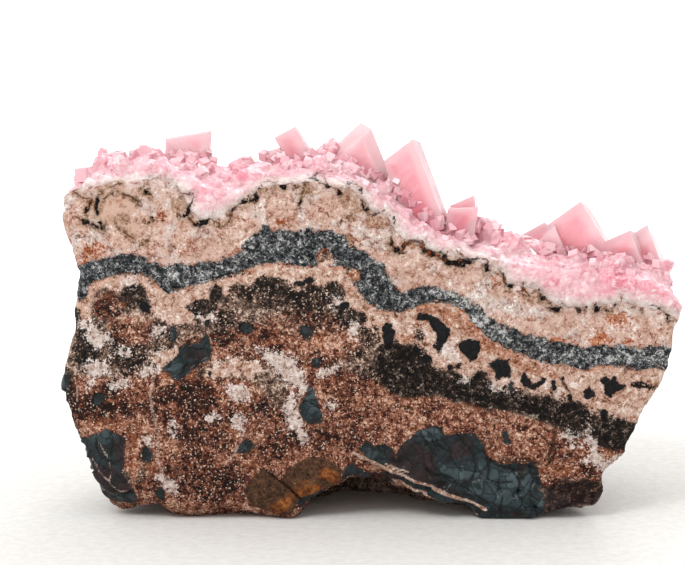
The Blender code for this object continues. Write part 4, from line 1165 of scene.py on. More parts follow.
# Five tones of each stone, from its darkest grains to its lightest.
BEIGE_TONES = ("7A5443", "AB8573", "C4A090", "D4B8AB", "EBDAD2")
GREYISH_TONES = ("7B665C", "A99288", "C4AFA6", "D6C8C1", "EDE5E0")
TAN_TONES = ("4A3224", "7C5C47", "A3806A", "C2A391", "DECBBE")
BULGE_TONES = ("8A6E5E", "AE8E7D", "C09F8D", "CCB0A0", "DDC7BA")
MILKY_TONES = ("AC857B", "CCADA6", "DDC6C1", "E9D9D6", "F6EFED")
RUST_TONES = ("5E2A1A", "93492C", "B06A48", "C48B6B", "DBB29B")
VIVID_TONES = ("42190B", "8E441C", "B56630", "C98A58", "DDB48E")
GREY_TONES = ("100B09", "34251E", "6A5145", "A48978", "D8C7BA")
BROWN_TONES = ("180B07", "401F16", "794532", "AA765D", "DBB9A5")
CREAM_TONES = ("54311F", "9B7059", "C09C8A", "D0B5A7", "E9DAD1")
ORANGE_TONES = ("451C0D", "7E4128", "A06241", "BD8A6A", "DAB79E")
PITCH_TONES = ("060505", "130F0D", "2B211C", "5C4B40", "AB9B8D")
SMUT_TONES = ("070505", "15100D", "2E221B", "5A483C", "B5A598")
WHITE_TONES = ("6B4A3B", "AF9183", "CFBAB0", "DDCEC6", "F1EAE6")
RUBBLE_TONES = ("070405", "170E0D", "2C1B18", "553A30", "93796B")
PLATE_TONES = ("1E130E", "3A271C", "523827", "6B4A33", "96785C")
RUSTY_PLATE_TONES = ("35190E", "5C3018", "854A22", "A4642F", "C79A66")
VEIN_TONES = ("7A5648", "9C7869", "B6978A", "C8B0A5", "DDCCC4")
STICK_TONES = ("55301F", "8A5A40", "B08C77", "C9B1A3", "DED1C7")
RIM_TONES = ("5A2410", "9C4C24", "B96A3C", "C98F6C", "DDB79E")
BAND_TONES = ("0B0C0D", "24272A", "484B4E", "82817F", "C9C7C4")
PALE_PINK_TONES = ("D38F9B", "E0A4AE", "E8B4BC", "EEC5CA", "F9E6E8")
RICH_PINK_TONES = ("CF6F81", "DC8595", "E498A5", "EBACB6", "F4D0D5")
CRUST_FOOT_TONES = ("BA9A93", "CDB2AB", "D9C2BD", "E3D2CE", "F4EAE8")
CLEAR_TONES = ("E8ACB6", "F0BEC6", "F5CCD2", "F9DBDF", "FEF3F4")
CLEAR_ROSE_TONES = ("E2909E", "ECA5B1", "F2B5BF", "F6C4CC", "FBDFE3")
CLEAR_FOOT_TONES = ("CDB0AB", "DDC8C4", "E8D8D5", "F0E6E4", "FCF8F7")


def stone(s, value, five):
    """One stone's colour, from its grain value and its five tones."""
    given = [colour(tone) if isinstance(tone, str) else tone for tone in five]
    return s.group(tones, Value=value, **dict(zip(TONE_NAMES, given)))[0]


def seam_film(s, m, body, value, spread):
    """The oxide along the seam, over the body's colour."""
    return s.group(
        oxide, Color=body, Place=m.place, Line=m.line, Tone=m.tone, Coarse=m.coarse,
        Value=value, Spread=spread)


def rock_readings(s):
    """The rock's readings, with its grains and the masks that more than one part of its material needs."""
    m = Readings(s, ROCK_STORE)
    m.grain = s.group(grains, Place=m.place, Density=2.3)
    m.pepper = s.group(grains, Place=m.place, Density=2.6)
    m.value = m.grain["Value"]
    m.speckle = s.add(m.value, -0.5)
    m.jag = s.times(m.speckle, 1.3)
    m.flat = m.cut("bulge", 0.35, 0.75, coarse=0.15, tan=-0.9)
    m.orange = m.cut("rust", 0.34, 0.80, coarse=0.5, jag=-0.35)
    blacken = m.cut("dark", 0.38, 0.70, coarse=0.45, jag=-0.40)
    m.in_pale = s.times(m.cut("pale", -0.2, 0.2, wander=3.5, coarse=1.2, jag=1.0), s.off(blacken))
    m.in_pitch = m.cut("pitchy", -0.16, 0.16, wander=2.6, coarse=0.9, jag=1.2)
    m.in_steel = m.cut("steel", -0.08, 0.08, coarse=0.62, jag=0.75)
    m.in_charcoal = m.cut("charcoal", -0.07, 0.07, coarse=0.62, jag=0.50)
    m.in_crack = m.cut("crack", -0.12, 0.02, fine=0.28, jag=-0.10)
    m.is_below = m.cut("below", -0.3, 0.3)
    # The band is roughened once for all, because its rim follows the same edge.
    m.band = m.roughened("band", coarse=0.9, wander=1.5, jag=0.75, fine=0.4)
    m.in_band = m.cut("band", -0.10, 0.10)
    crazed = s.shifted(m.place, 1.6, 0.5, 2.0)
    m.chip = s.split(s.cells(crazed, CRAZING).outputs["Color"])[0]
    m.chip_edge = s.cells(crazed, CRAZING, "DISTANCE_TO_EDGE").outputs["Distance"]
    return m


def upper_stone(s, m):
    """Above the band: pinkish beige carbonate, milky near the crust, with rusty flecks."""
    lively = s.step(s.noise(m.place, 0.30, 3.0, 0.6), 0.38, 0.62, 0.60, 1.15)
    lively = s.times(s.times(m.speckle, 0.85), lively)
    level = s.add(lively, s.times(m.wander, 1.2), s.swing(m.slow, 0.6), 0.5)
    level = s.number(m.flat, level, s.add(s.swing(level, 0.35), 0.52))
    greyer = s.step(s.noise(m.place, 0.20, 4.0, 0.6), 0.50, 0.62)
    beige = s.blend(greyer, stone(s, level, BEIGE_TONES), stone(s, level, GREYISH_TONES))
    brownish = m.cut("tan", 0.22, 0.75, coarse=0.30, jag=-0.12)
    beige = s.blend(brownish, beige, stone(s, level, TAN_TONES))
    milky = s.times(s.off(m.cut("seam", 0.3, 2.6, coarse=0.9, jag=1.0)), s.off(s.times(brownish, 0.75)))
    rusty = m.cut("rust", 0.425, 0.825, wander=1.375, speckle=-1.125)
    flecks = s.step(s.add(s.times(m.middle, -0.9), s.times(m.value, -0.60)), -0.635, -0.555)
    vivid = m.cut("rust", 0.60, 0.95, speckle=-1.1, wander=0.8)
    return s.layered(
        s.blend(m.flat, beige, stone(s, level, BULGE_TONES)),
        (milky, 0.75, stone(s, level, MILKY_TONES)),
        (s.most(rusty, s.times(flecks, 0.7)), 0.62, stone(s, m.value, RUST_TONES)),
        (vivid, 0.72, stone(s, m.value, VIVID_TONES)),
    )


def steel_stone(s, m):
    """Metallic-looking masses, crazed into plates, each painted lighter or darker as a painted sheen,
    lightest in the spots of painted shine.
    """
    cloudy = s.step(s.noise(m.place, 0.5, 4.0, 0.65), 0.36, 0.64)
    greener = s.step(s.noise(m.place, 0.24, 2.0, 0.5), 0.52, 0.70)
    redder = m.cut("maroon", 0.30, 0.7, coarse=0.4)
    reds = s.blend(s.step(m.middle, 0.4, 0.6), colour("0E0708"), colour("2D1A1B"))
    # Painted sheen: the plates are painted lighter in the spots of painted shine, as if those facets caught
    # the light.
    painted_shine = s.step(s.add(s.times(m.maroon, -1.0), s.times(m.coarse, 0.35)), 0.25, 0.65)
    plates = s.blend(s.add(s.times(m.chip, 0.7), s.times(cloudy, 0.3)), colour("223236"), colour("4D5C60"))
    return s.layered(
        s.blend(cloudy, colour("090C10"), colour("1F2D32")),
        (greener, 1.0, colour("0F211F")),
        (redder, 1.0, reds),
        (painted_shine, 0.9, plates),
        (s.off(s.step(m.chip_edge, 0.0, 0.06)), 0.85, colour("050303")),
    )


def lower_stone(s, m):
    """Below the band: brown sandy rock, greyer and blacker in places, and all that lies in it."""
    is_warm = m.cut("warm", 0.30, 0.75, coarse=0.22)
    sandy = [s.blend(is_warm, colour(grey), colour(brown)) for grey, brown in zip(GREY_TONES, BROWN_TONES)]
    shade = s.add(m.value, s.times(m.dark, -0.46), s.swing(m.slow, 0.7), s.times(m.wander, 0.6), 0.02)
    creamy = s.add(s.times(m.speckle, 0.95), s.times(m.dark, -0.25), s.times(m.wander, 0.9), 0.54)
    # Painted highlights: a few grains away from the pale stone are painted near white as glints.
    painted_glints = s.times(s.group(grains, Place=m.place, Density=4.2)["Glint"], s.off(m.in_pale))
    tint = s.add(s.times(m.value, 0.7), s.times(m.middle, 0.9), -0.34)
    plates = s.blend(m.orange, stone(s, tint, PLATE_TONES), stone(s, tint, RUSTY_PLATE_TONES))
    soot = s.blend(s.step(s.noise(m.place, 1.6, 3.0, 0.6), 0.4, 0.65), colour("060608"), colour("151519"))
    return s.layered(
        stone(s, shade, sandy),
        (m.in_pale, 1.0, stone(s, creamy, CREAM_TONES)),
        (m.orange, 0.72, stone(s, m.value, ORANGE_TONES)),
        (painted_glints, 0.75, colour("F0D2BC")),
        (m.in_pitch, 1.0, stone(s, s.add(s.times(m.speckle, 1.25), 0.37), PITCH_TONES)),
        (m.cut("smut", -0.14, 0.14, wander=1.8, coarse=0.8, jag=1.3), 0.92,
         stone(s, s.add(s.times(m.speckle, 1.2), 0.34), SMUT_TONES)),
        (m.cut("white", -0.34, 0.34, wander=2.8, coarse=1.0, jag=1.6), 0.94,
         stone(s, s.add(m.value, 0.02), WHITE_TONES)),
        (m.in_steel, 1.0, steel_stone(s, m)),
        (m.cut("rubble", -0.10, 0.10, coarse=0.8, jag=0.6), 1.0,
         stone(s, s.add(m.value, -0.08), RUBBLE_TONES)),
        (m.cut("plate", -0.05, 0.15, coarse=0.18, jag=0.1), 1.0, plates),
        (m.in_charcoal, 1.0, soot),
        (m.cut("vein", -0.08, 0.08, fine=0.35, coarse=0.12, jag=0.18), 0.62,
         stone(s, m.value, VEIN_TONES)),
        (m.cut("stick", -0.08, 0.04, fine=0.2, coarse=0.06), 1.0,
         stone(s, s.add(m.value, 0.05), STICK_TONES)),
        (m.in_crack, 0.9, colour("090707")),
    )


def rock_roughness(s, m, solid):
    """Stone is matt with a few glinting grains, and the metallic masses are smoother."""
    rough = s.number(s.step(m.fine, -0.3, 0.3), 0.50, 0.80)
    rough = s.number(m.in_steel, rough, s.number(s.step(m.middle, 0.4, 0.6), 0.26, 0.46))
    rough = s.number(m.in_charcoal, rough, 0.50)
    return s.number(s.times(m.grain["Glint"], s.off(solid)), rough, 0.22)


def rock_height(s, m, solid, crumbs):
    """Grain for the bump: strongest in the band and the pale stone, and chipped in the metallic masses."""
    grainy = m.grain["Height"]
    above = s.times(grainy, s.number(m.flat, 0.6, 0.15))
    height = s.number(m.is_below, above, s.number(m.in_pale, s.times(grainy, 1.15), s.times(grainy, 0.75)))
    height = s.number(m.in_band, height, s.times(m.pepper["Height"], 1.1))
    chipped = s.times(s.off(s.step(m.chip_edge, 0.0, 0.10)), -0.5)
    height = s.number(solid, height, s.add(s.times(s.noise(m.place, 1.3, 4.0, 0.55), 0.5), chipped))
    pitted = s.times(m.in_pitch, s.times(m.value, 0.5))
    return s.add(height, s.times(crumbs, -0.6), s.times(m.in_crack, -0.6), pitted)


def rock_material():
    material, s, shader = new_material("banded_rock")
    m = rock_readings(s)
    # The dark band lies over both stones, with an orange rim under it and the oxide of the seam on top.
    broken = m.cut("middle", 0.44, 0.58, fine=0.1, jag=-0.10)
    rim = s.times(s.times(m.cut("band", -0.95, -0.2), m.is_below), broken)
    speck = s.add(s.swing(m.pepper["Value"], 1.25), s.times(m.wander, 0.6), s.times(m.fade, 0.26), 0.43)
    body = s.layered(
        s.blend(m.is_below, upper_stone(s, m), lower_stone(s, m)),
        (rim, 0.62, stone(s, m.value, RIM_TONES)),
        (m.in_band, 1.0, stone(s, speck, BAND_TONES)),
    )
    film = seam_film(s, m, body, m.value, 1.0)
    # Away from the cut face the rock is a little duller, with a brown skin.
    dull = s.times(s.step(m.depth, 2.0, 14.0), s.step(m.slow, 0.42, 0.62, 0.08, 0.36))
    s.feed(shader["Base Color"], s.blend(dull, film["Color"], colour("6A5142")))
    solid = s.most(m.in_charcoal, m.in_steel)
    s.feed(shader["Roughness"], rock_roughness(s, m, solid))
    shader["Specular IOR Level"].default_value = 0.16
    shader["Coat Roughness"].default_value = 0.22
    s.feed(shader["Coat Weight"], s.times(s.times(m.in_steel, m.is_below), 0.30))
    s.feed(shader["Normal"], s.bump(rock_height(s, m, solid, film["Mask"]), 0.34, 0.8))
    return material


def druse_material():
    material, s, shader = new_material("druse")
    m = Readings(s, CRUST_STORE)
    sugar, large, fleck = (s.group(grains, Place=m.place, Density=density) for density in (1.25, 0.55, 2.6))
    uneven = s.add(
        s.swing(sugar["Value"], 0.50), s.swing(large["Value"], 0.28), s.swing(fleck["Value"], 0.42))
    m.plane = s.add(m.facet, -0.5)
    value = s.add(uneven, s.times(m.wander, 0.55), s.times(m.plane, 0.34), 0.50)
    m.speckle = s.add(value, -0.5)
    rising = m.cut("lift", 0.5, 2.8, coarse=0.9, speckle=-0.8)
    deeper = m.cut("blush", 0.30, 0.85, coarse=0.30, wander=1.6, plane=0.35)
    pink = s.blend(deeper, stone(s, value, PALE_PINK_TONES), stone(s, value, RICH_PINK_TONES))
    stain = m.cut("ochre", 0.30, 0.8, coarse=0.45, speckle=-0.6)
    # Painted highlights: a few grains are painted near white as glints, and the same grains are the smoothest
    # in the roughness.
    glints_painted_and_glossy = s.most(sugar["Glint"], s.times(fleck["Glint"], 0.8))
    body = s.layered(
        s.blend(rising, stone(s, value, CRUST_FOOT_TONES), pink),
        (stain, 0.7, colour("B98A5C")),
        (glints_painted_and_glossy, 0.5, colour("FFF1F2")),
    )
    film = seam_film(s, m, body, sugar["Value"], 0.4)
    s.feed(shader["Base Color"], film["Color"])
    s.feed(shader["Roughness"], s.number(glints_painted_and_glossy, s.number(s.step(m.fine, -0.3, 0.3), 0.26, 0.46), 0.06))
    shader["IOR"].default_value = CRYSTAL_IOR
    shader["Specular IOR Level"].default_value = 0.5
    shader["Subsurface Weight"].default_value = 0.6
    shader["Subsurface Radius"].default_value = (0.0030, 0.0018, 0.0019)
    shader["Subsurface Scale"].default_value = 1.0
    shader["Transmission Weight"].default_value = 0.06
    height = s.add(
        s.times(sugar["Height"], 0.6), s.times(large["Height"], 0.5), s.times(fleck["Height"], 0.25),
        s.times(film["Mask"], -0.5))
    s.feed(shader["Normal"], s.bump(height, 0.24, 0.40))
    return material


def point_material():
    """Clear pale crystals, which pick up the pink of the mass under them."""
    material, s, shader = new_material("clear_points")
    share, blush, low = s.stored("point")
    marks = s.group(growth, Place=s.place(), Lines=1.6)
    level = s.add(s.swing(share, 0.55), s.swing(marks["Cloud"], 0.8), 0.5)
    body = s.blend(blush, stone(s, level, CLEAR_TONES), stone(s, level, CLEAR_ROSE_TONES))
    body = s.blend(s.times(low, 0.7), body, stone(s, level, CLEAR_FOOT_TONES))
    s.feed(shader["Base Color"], body)
    s.feed(shader["Roughness"], s.number(s.step(share, 0.5, 0.9), 0.12, 0.34))
    shader["IOR"].default_value = CRYSTAL_IOR
    shader["Transmission Weight"].default_value = 0.12
    s.feed(shader["Normal"], s.bump(marks["Height"], 0.15, 0.25))
    return material


def crystal_material(name, body, edge, deep, density):
    """Cloudy pink crystal. Plain absorption gives its depth of colour; the colour is also deeper towards the
    foot, and painted paler as painted light at thin edges and tips.
    """
    material, s, shader = new_material(name)
    marks = s.group(growth, Place=s.place(), Lines=0.7)
    foot, painted_glow, plane = s.stored("crystal")
    cloudy = s.step(s.add(marks["Cloud"], s.swing(plane, 0.30)), 0.36, 0.64)
    deepening = s.step(s.add(foot, s.swing(marks["Cloud"], 0.8)), 0.0, 1.0)
    # Whiter with the painted light of thin edges and tips, and along the veils and streaks of growth.
    whitening = s.most(painted_glow, s.most(s.times(marks["Veil"], 0.25), s.times(marks["Streak"], 0.22)))
    s.feed(shader["Base Color"], s.layered(
        s.blend(cloudy, colour(body), colour(edge)),
        (deepening, 0.9, colour(deep)),
        (whitening, 1.0, colour("FBE0E2")),
    ))
    s.feed(shader["Roughness"], s.step(marks["Height"], 0.4, 0.9, 0.12, 0.26))
    shader["IOR"].default_value = CRYSTAL_IOR
    shader["Subsurface Weight"].default_value = 0.6
    shader["Subsurface Radius"].default_value = (0.0050, 0.0024, 0.0026)
    shader["Subsurface Scale"].default_value = 1.0
    shader["Transmission Weight"].default_value = 0.35
    s.feed(shader["Normal"], s.bump(marks["Height"], 0.22, 0.35))
    absorb = s.node("ShaderNodeVolumeAbsorption")
    absorb.inputs["Color"].default_value = (0.96, 0.55, 0.62, 1.0)
    absorb.inputs["Density"].default_value = density
    s.tree.links.new(absorb.outputs[0], material.node_tree.nodes["Material Output"].inputs["Volume"])
    return material


# ---- the rock ------------------------------------------------------------------------------------

def on_face(centres, normals):
    return (centres[:, 1] < FACE_Y + 2.2) & (normals[:, 1] < -0.5)


def by_seam(centres, normals):
    """The faces by the thin dark lines, which need small faces to be drawn."""
    nearest, _ = inside_lines(centres[:, [0, 2]], [points for _, points in LINES])
    return on_face(centres, normals) & (nearest > -0.6)


def tree_of(mesh):
    mesh.calc_loop_triangles()
    triangles = [tuple(t.vertices) for t in mesh.loop_triangles]
    return BVHTree.FromPolygons([v.co for v in mesh.vertices], triangles)


def far_from(points, mesh):
    """How far each point is from the mesh, in millimetres."""
    tree = tree_of(mesh)
    return np.array([tree.find_nearest(Vector(p))[3] for p in points * MM]) / MM


def towards(points, mesh):
    """The direction from each point to the nearest place on the mesh, or nothing for points inside it."""
    tree = tree_of(mesh)
    steps = np.zeros((len(points), 3))
    for index, point in enumerate(points * MM):
        place, normal, _, distance = tree.find_nearest(Vector(point))
        away = Vector(point) - place
        if distance > 1e-7 and away.dot(normal) > 0.0:
            steps[index] = -away / distance
    return steps


def rock_relief(points, normals, marks):
    """How far each point of the rock moves out along its normal."""
    front = smooth(-normals[:, 1], 0.45, 0.85) * (1.0 - smooth(marks["depth"], 1.5, 3.5))
    away = (1.0 - front) * smooth(marks["depth"], 0.5, 5.0)
    broken, _ = Facets(SEED + 5, 0.30)(points, 8.0)
    chipped, _ = Facets(SEED + 6, 0.34)(points, 3.6)
    relief = away * (broken + 0.5 * swell(points, 6.0) - 0.6) + (1.0 - front) * 0.25 * grit(points, 2.2)
    relief += 0.12 * swell(points, 2.6) + 0.08 * grit(points, 1.1)
    under = smooth(marks["below"], 0.0, 0.8) * (1.0 - smooth(marks["pale"], -0.5, 0.5))
    relief += under * (0.20 * swell(points, 1.8) + 0.14 * grit(points, 0.9))
    pitted = smooth(marks["line"], -0.25, 0.10) * (1.0 - 0.5 * marks["tone"])
    relief -= front * 0.45 * pitted
    pitchy = smooth(marks["pitchy"], -0.6, 0.6)
    relief += pitchy * (0.30 * grit(points, 1.3) + 0.16 * swell(points, 0.8) - 0.25 * front)
    relief += smooth(marks["band"], -0.3, 0.4) * (0.12 * grit(points, 0.9) + 0.08)
    steel = smooth(marks["steel"], -0.1, 0.5)
    relief = relief * (1.0 - 0.7 * steel) + steel * (0.9 * chipped - 0.2 * front)
    relief += smooth(marks["rubble"], -0.3, 0.3) * 0.7 * grit(points, 2.0)
    relief += front * 0.30 * smooth(marks["plate"], -0.1, 0.4)
    relief += front * 0.6 * smooth(marks["stick"], -0.25, 0.25)
    relief -= front * 0.12 * smooth(marks["charcoal"], -0.2, 0.2)
    relief -= 0.3 * smooth(marks["crack"], -0.3, 0.05)
    # The rock swells a little to meet the crust, and the flat underside stays flat.
    relief += 0.42 * (1.0 - smooth(marks["seam"], 0.5, 1.7))
    relief *= smooth(points[:, 2], 0.15, 1.2)
    return relief


def build_rock(material):
    rock = piece_from("matrix_rock", "banded_rock")
    remesh(rock, ROCK_GRID, 2)
    refine(rock, on_face)
    refine(rock, by_seam)
    mesh = rock.data
    points, normals = points_of(mesh), normals_of(mesh)
    marks = read_markings(points)
    marks["seam"] = np.minimum(far_from(points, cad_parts["crystal_crust"].data), 9.0)
    moved = points + normals * rock_relief(points, normals, marks)[:, None]
    moved[:, 2] = np.maximum(moved[:, 2], 0.0)
    set_points(mesh, moved)
    store(mesh, ROCK_STORE, marks)
    mesh.shade_smooth()
    finish_piece(rock, material, "banded_rock", "matrix_rock")
    return rock


# ---- the crust -----------------------------------------------------------------------------------

def rhombs(rng, places, sizes):
    """Many rhombohedra as points and faces. Neighbours share a turn, as crystals of one growth do."""
    corners = np.array(list(np.ndindex(2, 2, 2)), float) - 0.5
    axis = np.ones(3) / math.sqrt(3.0)
    corners = corners - np.outer(corners @ axis, axis) * (1.0 - SQUASH)
    family = np.floor(places / FAMILY_WIDTH).astype(int)
    picks = rng.normal(size=(FAMILIES, 4))
    turns = picks[(family @ (3, 17, 29)) % FAMILIES] + 0.2 * rng.normal(size=(len(places), 4))
    loose = rng.random(len(places)) < 0.4
    turns[loose] = rng.normal(size=(int(loose.sum()), 4))
    turns /= np.linalg.norm(turns, axis=1)[:, None]
    w, x, y, z = turns.T
    frames = np.array([
        [1 - 2 * (y * y + z * z), 2 * (x * y - z * w), 2 * (x * z + y * w)],
        [2 * (x * y + z * w), 1 - 2 * (x * x + z * z), 2 * (y * z - x * w)],
        [2 * (x * z - y * w), 2 * (y * z + x * w), 1 - 2 * (x * x + y * y)],
    ]).transpose(2, 0, 1)
    local = corners[None] * (1.0 + 0.4 * (rng.random((len(places), 1, 3)) - 0.5))
    points = np.einsum("nij,ncj->nci", frames, local) * sizes[:, None, None] + places[:, None, :]
    quads = np.array([(0, 1, 3, 2), (4, 6, 7, 5), (0, 4, 5, 1), (2, 3, 7, 6), (0, 2, 6, 4), (1, 5, 7, 3)])
    faces = (quads[None] + 8 * np.arange(len(places))[:, None, None]).reshape(-1, 4)
    return points.reshape(-1, 3), faces


def spread_on(mesh, rng, count, weigh):
    """Random places on the mesh, picked by area times weigh(centres, normals), with their normals."""
    mesh.calc_loop_triangles()
    corners = np.empty(len(mesh.loop_triangles) * 3, np.int32)
    mesh.loop_triangles.foreach_get("vertices", corners)
    triangles = points_of(mesh)[corners.reshape(-1, 3)]
    normals = np.cross(triangles[:, 1] - triangles[:, 0], triangles[:, 2] - triangles[:, 0])
    area = np.linalg.norm(normals, axis=1) + 1e-12
    normals /= area[:, None]
    weight = area * weigh(triangles.mean(axis=1), normals)
    picked = rng.choice(len(weight), count, p=weight / weight.sum())
    a, b = rng.random((2, count))
    over = a + b > 1.0
    a[over], b[over] = 1.0 - a[over], 1.0 - b[over]
    chosen = triangles[picked]
    first, second = chosen[:, 1] - chosen[:, 0], chosen[:, 2] - chosen[:, 0]
    return chosen[:, 0] + a[:, None] * first + b[:, None] * second, normals[picked]


def crystal_places(druse, rock, rng, count, low, high, at_front):
    """Places for small crystals on the crust, clear of the rock, and sizes, smaller by the cut face."""

    def weigh(centres, facing):
        lifted = smooth(centres[:, 2], 40.0, 44.0)
        outward = smooth(facing[:, 2], -0.35, 0.2)
        on_cut = smooth(-facing[:, 1], 0.6, 0.9) * (centres[:, 1] < FACE_Y + 2.5)
        return lifted * np.maximum(outward * (1.0 - on_cut), at_front * on_cut)

    places, facing = spread_on(druse.data, rng, count, weigh)
    far = far_from(places, rock.data)
    keep = far > 1.1
    places, facing, far = places[keep], facing[keep], far[keep]
    sizes = low + (high - low) * rng.random(len(places)) ** 1.8
    sizes *= 0.48 + 0.52 * smooth(depth_of(places), 2.0, 12.0)
    sizes = np.minimum(sizes, 0.9 * far)
    places = places - facing * (sizes * 0.42)[:, None]
    places[:, 1] = np.maximum(places[:, 1], FACE_Y + sizes * 0.55 - 0.2)
    return places, sizes


def rhomb_mesh(name, rng, places, sizes):
    points, faces = rhombs(rng, places, sizes)
    mesh = bpy.data.meshes.new(name)
    mesh.from_pydata((points * MM).tolist(), [], faces.tolist())
    mesh.update()
    work = bmesh.new()
    work.from_mesh(mesh)
    bmesh.ops.recalc_face_normals(work, faces=work.faces[:])
    work.to_mesh(mesh)
    work.free()
    return mesh


def build_druse(material, rock):
    druse = piece_from("crystal_crust", "druse_crust")
    rng = np.random.default_rng(SEED)
    loose = rhomb_mesh("loose_rhombs", rng, *crystal_places(druse, rock, rng, **GROWN))
    both = bmesh.new()
    both.from_mesh(druse.data)
    both.from_mesh(loose)
    both.to_mesh(druse.data)
    both.free()
    bpy.data.meshes.remove(loose)
    remesh(druse, CRUST_GRID, 0)
    refine(druse, by_seam)
    refine(druse, by_seam)
    mesh = druse.data
    points, normals = points_of(mesh), normals_of(mesh)
    lift = far_from(points, rock.data)
    front = smooth(-normals[:, 1], 0.5, 0.85) * (1.0 - smooth(depth_of(points), 1.0, 3.0))
    by_rock = 1.0 - smooth(lift, 0.5, 1.5)
    growth_facets = Facets(SEED + 7, 0.45)
    grown, _ = growth_facets(points, 3.0)
    small, _ = Facets(SEED + 8, 0.45)(points, 1.6)
    relief = 0.14 + 0.30 * by_rock * (1.0 - 0.8 * front)
    relief += ((0.25 + 0.20 * front) * grown + 0.20 * small) * smooth(lift, 0.8, 2.0)
    points = points + normals * relief[:, None] + towards(points, rock.data) * (0.7 * by_rock)[:, None]
    points[:, 2] = np.maximum(points[:, 2], 0.0)
    set_points(mesh, points)
    mesh.shade_smooth()
    _, facet = growth_facets(points, 3.0)
    lift = far_from(points, rock.data)
    flat = points[:, [0, 2]]
    line, tone = read_lines(points)
    near = by_face(points)
    blush = np.maximum(in_spots(flat, BLUSH) * near, 0.5 * smooth(lift, 3.0, 5.5))
    store(mesh, CRUST_STORE, {
        "lift": lift,
        "blush": np.clip(blush + 0.25 * swell(points, 7.0), 0.0, 1.0),
        "line": np.where(lift < 3.0, line, -REACH),
        "tone": tone,
        "ochre": in_spots(flat, OCHRE) * near,
        "facet": facet,
    })
    finish_piece(druse, material, "druse", "crystal_crust")
    return druse


# ---- the large crystals --------------------------------------------------------------------------

def split_long(mesh, longest):
    """Halves edges until none is longer than this, so that values can vary across the flat faces."""
    work = bmesh.new()
    work.from_mesh(mesh)
    bmesh.ops.triangulate(work, faces=work.faces[:])
    for _ in range(7):
        edges = [edge for edge in work.edges if edge.calc_length() > longest * MM]
        if not edges:
            break
        bmesh.ops.subdivide_edges(work, edges=edges, cuts=1)
        bmesh.ops.triangulate(work, faces=work.faces[:])
    work.to_mesh(mesh)
    work.free()


def build_crystal(node, material, wear):
    crystal = piece_from(node, node.replace("_crystals", "").replace("_crystal", "") + "_pink")
    bevel = crystal.modifiers.new("worn_edges", "BEVEL")
    bevel.limit_method = "ANGLE"
    bevel.angle_limit = math.radians(25)
    bevel.width = wear * MM
    bevel.segments = 3
    settle(crystal)
    mesh = crystal.data
    split_long(mesh, CRYSTAL_EDGE)
    mesh.shade_smooth()
    points, normals = points_of(mesh), normals_of(mesh)
    # Painted light: paler where a place just under the surface is near another face, as thin edges let more
    # light through.
    core = far_from(points - 2.6 * normals, mesh)
    thin = 1.0 - smooth(core, 0.6, 2.5)
    low, high = points[:, 2].min(), points[:, 2].max()
    foot = 1.0 - smooth((points[:, 2] - low) / (high - low), 0.25, 0.75)
    flat = points[:, [0, 2]]
    front = 1.0 - smooth(points[:, 1], -12.0, -4.0)
    store(mesh, CRYSTAL_STORE, {
        "foot": np.maximum(0.8 * foot, in_spots(flat, DEEP) * front),
        "painted_glow": np.maximum(in_spots(flat, PAINTED_LIGHT_TIPS) * front, 0.55 * thin),
        "plane": Facets(SEED + 9, 0.3)(points, 6.5)[1],
    })
    finish_piece(crystal, material, "pink_crystal", node)
    return crystal


def places_at_feet(rng, pieces):
    """Places along the paths of FEET, each on the first of these pieces that is met from the front."""
    trees = [tree_of(piece.data) for piece in pieces]
    feet = []
    for path in FEET:
        for start, end in zip(path, path[1:]):
            for _ in range(int(math.dist(start, end) * 1.5) + 1):
                share = rng.random()
                x = start[0] + share * (end[0] - start[0]) + 0.5 * rng.normal()
                z = start[1] + share * (end[1] - start[1]) - 0.9 + 0.5 * rng.normal()
                eye = Vector((x, -60.0, z)) * MM
                hits = [tree.ray_cast(eye, Vector((0.0, 1.0, 0.0)))[0] for tree in trees]
                depths = [hit.y / MM for hit in hits if hit]
                if depths:
                    feet.append((x, min(depths) + 0.35, z))
    return np.array(feet)


def build_points(material, druse, rock, crystals):
    """Small clean crystals, scattered over the crust and thick about the feet of the large ones."""
    rng = np.random.default_rng(SEED + 1)
    places, sizes = crystal_places(druse, rock, rng, **SCATTERED)
    feet = places_at_feet(rng, crystals + [druse])
    places = np.vstack([places, feet])
    sizes = np.concatenate([sizes, 0.8 + 1.2 * rng.random(len(feet)) ** 1.6])
    mesh = rhomb_mesh("druse_points", rng, places, sizes)
    mesh.shade_flat()
    points = points_of(mesh)
    blush = np.maximum(in_spots(points[:, [0, 2]], BLUSH) * by_face(points), 0.45)
    store(mesh, POINT_STORE, {
        "share": np.repeat(rng.random(len(places)), 8),
        "blush": np.clip(blush + 0.25 * swell(points, 7.0), 0.0, 1.0),
        "low": 1.0 - smooth(far_from(points, rock.data), 1.2, 3.2),
    })
    piece = new_piece("druse_points", mesh)
    finish_piece(piece, material, "druse")


# ---- floor, light and camera ---------------------------------------------------------------------

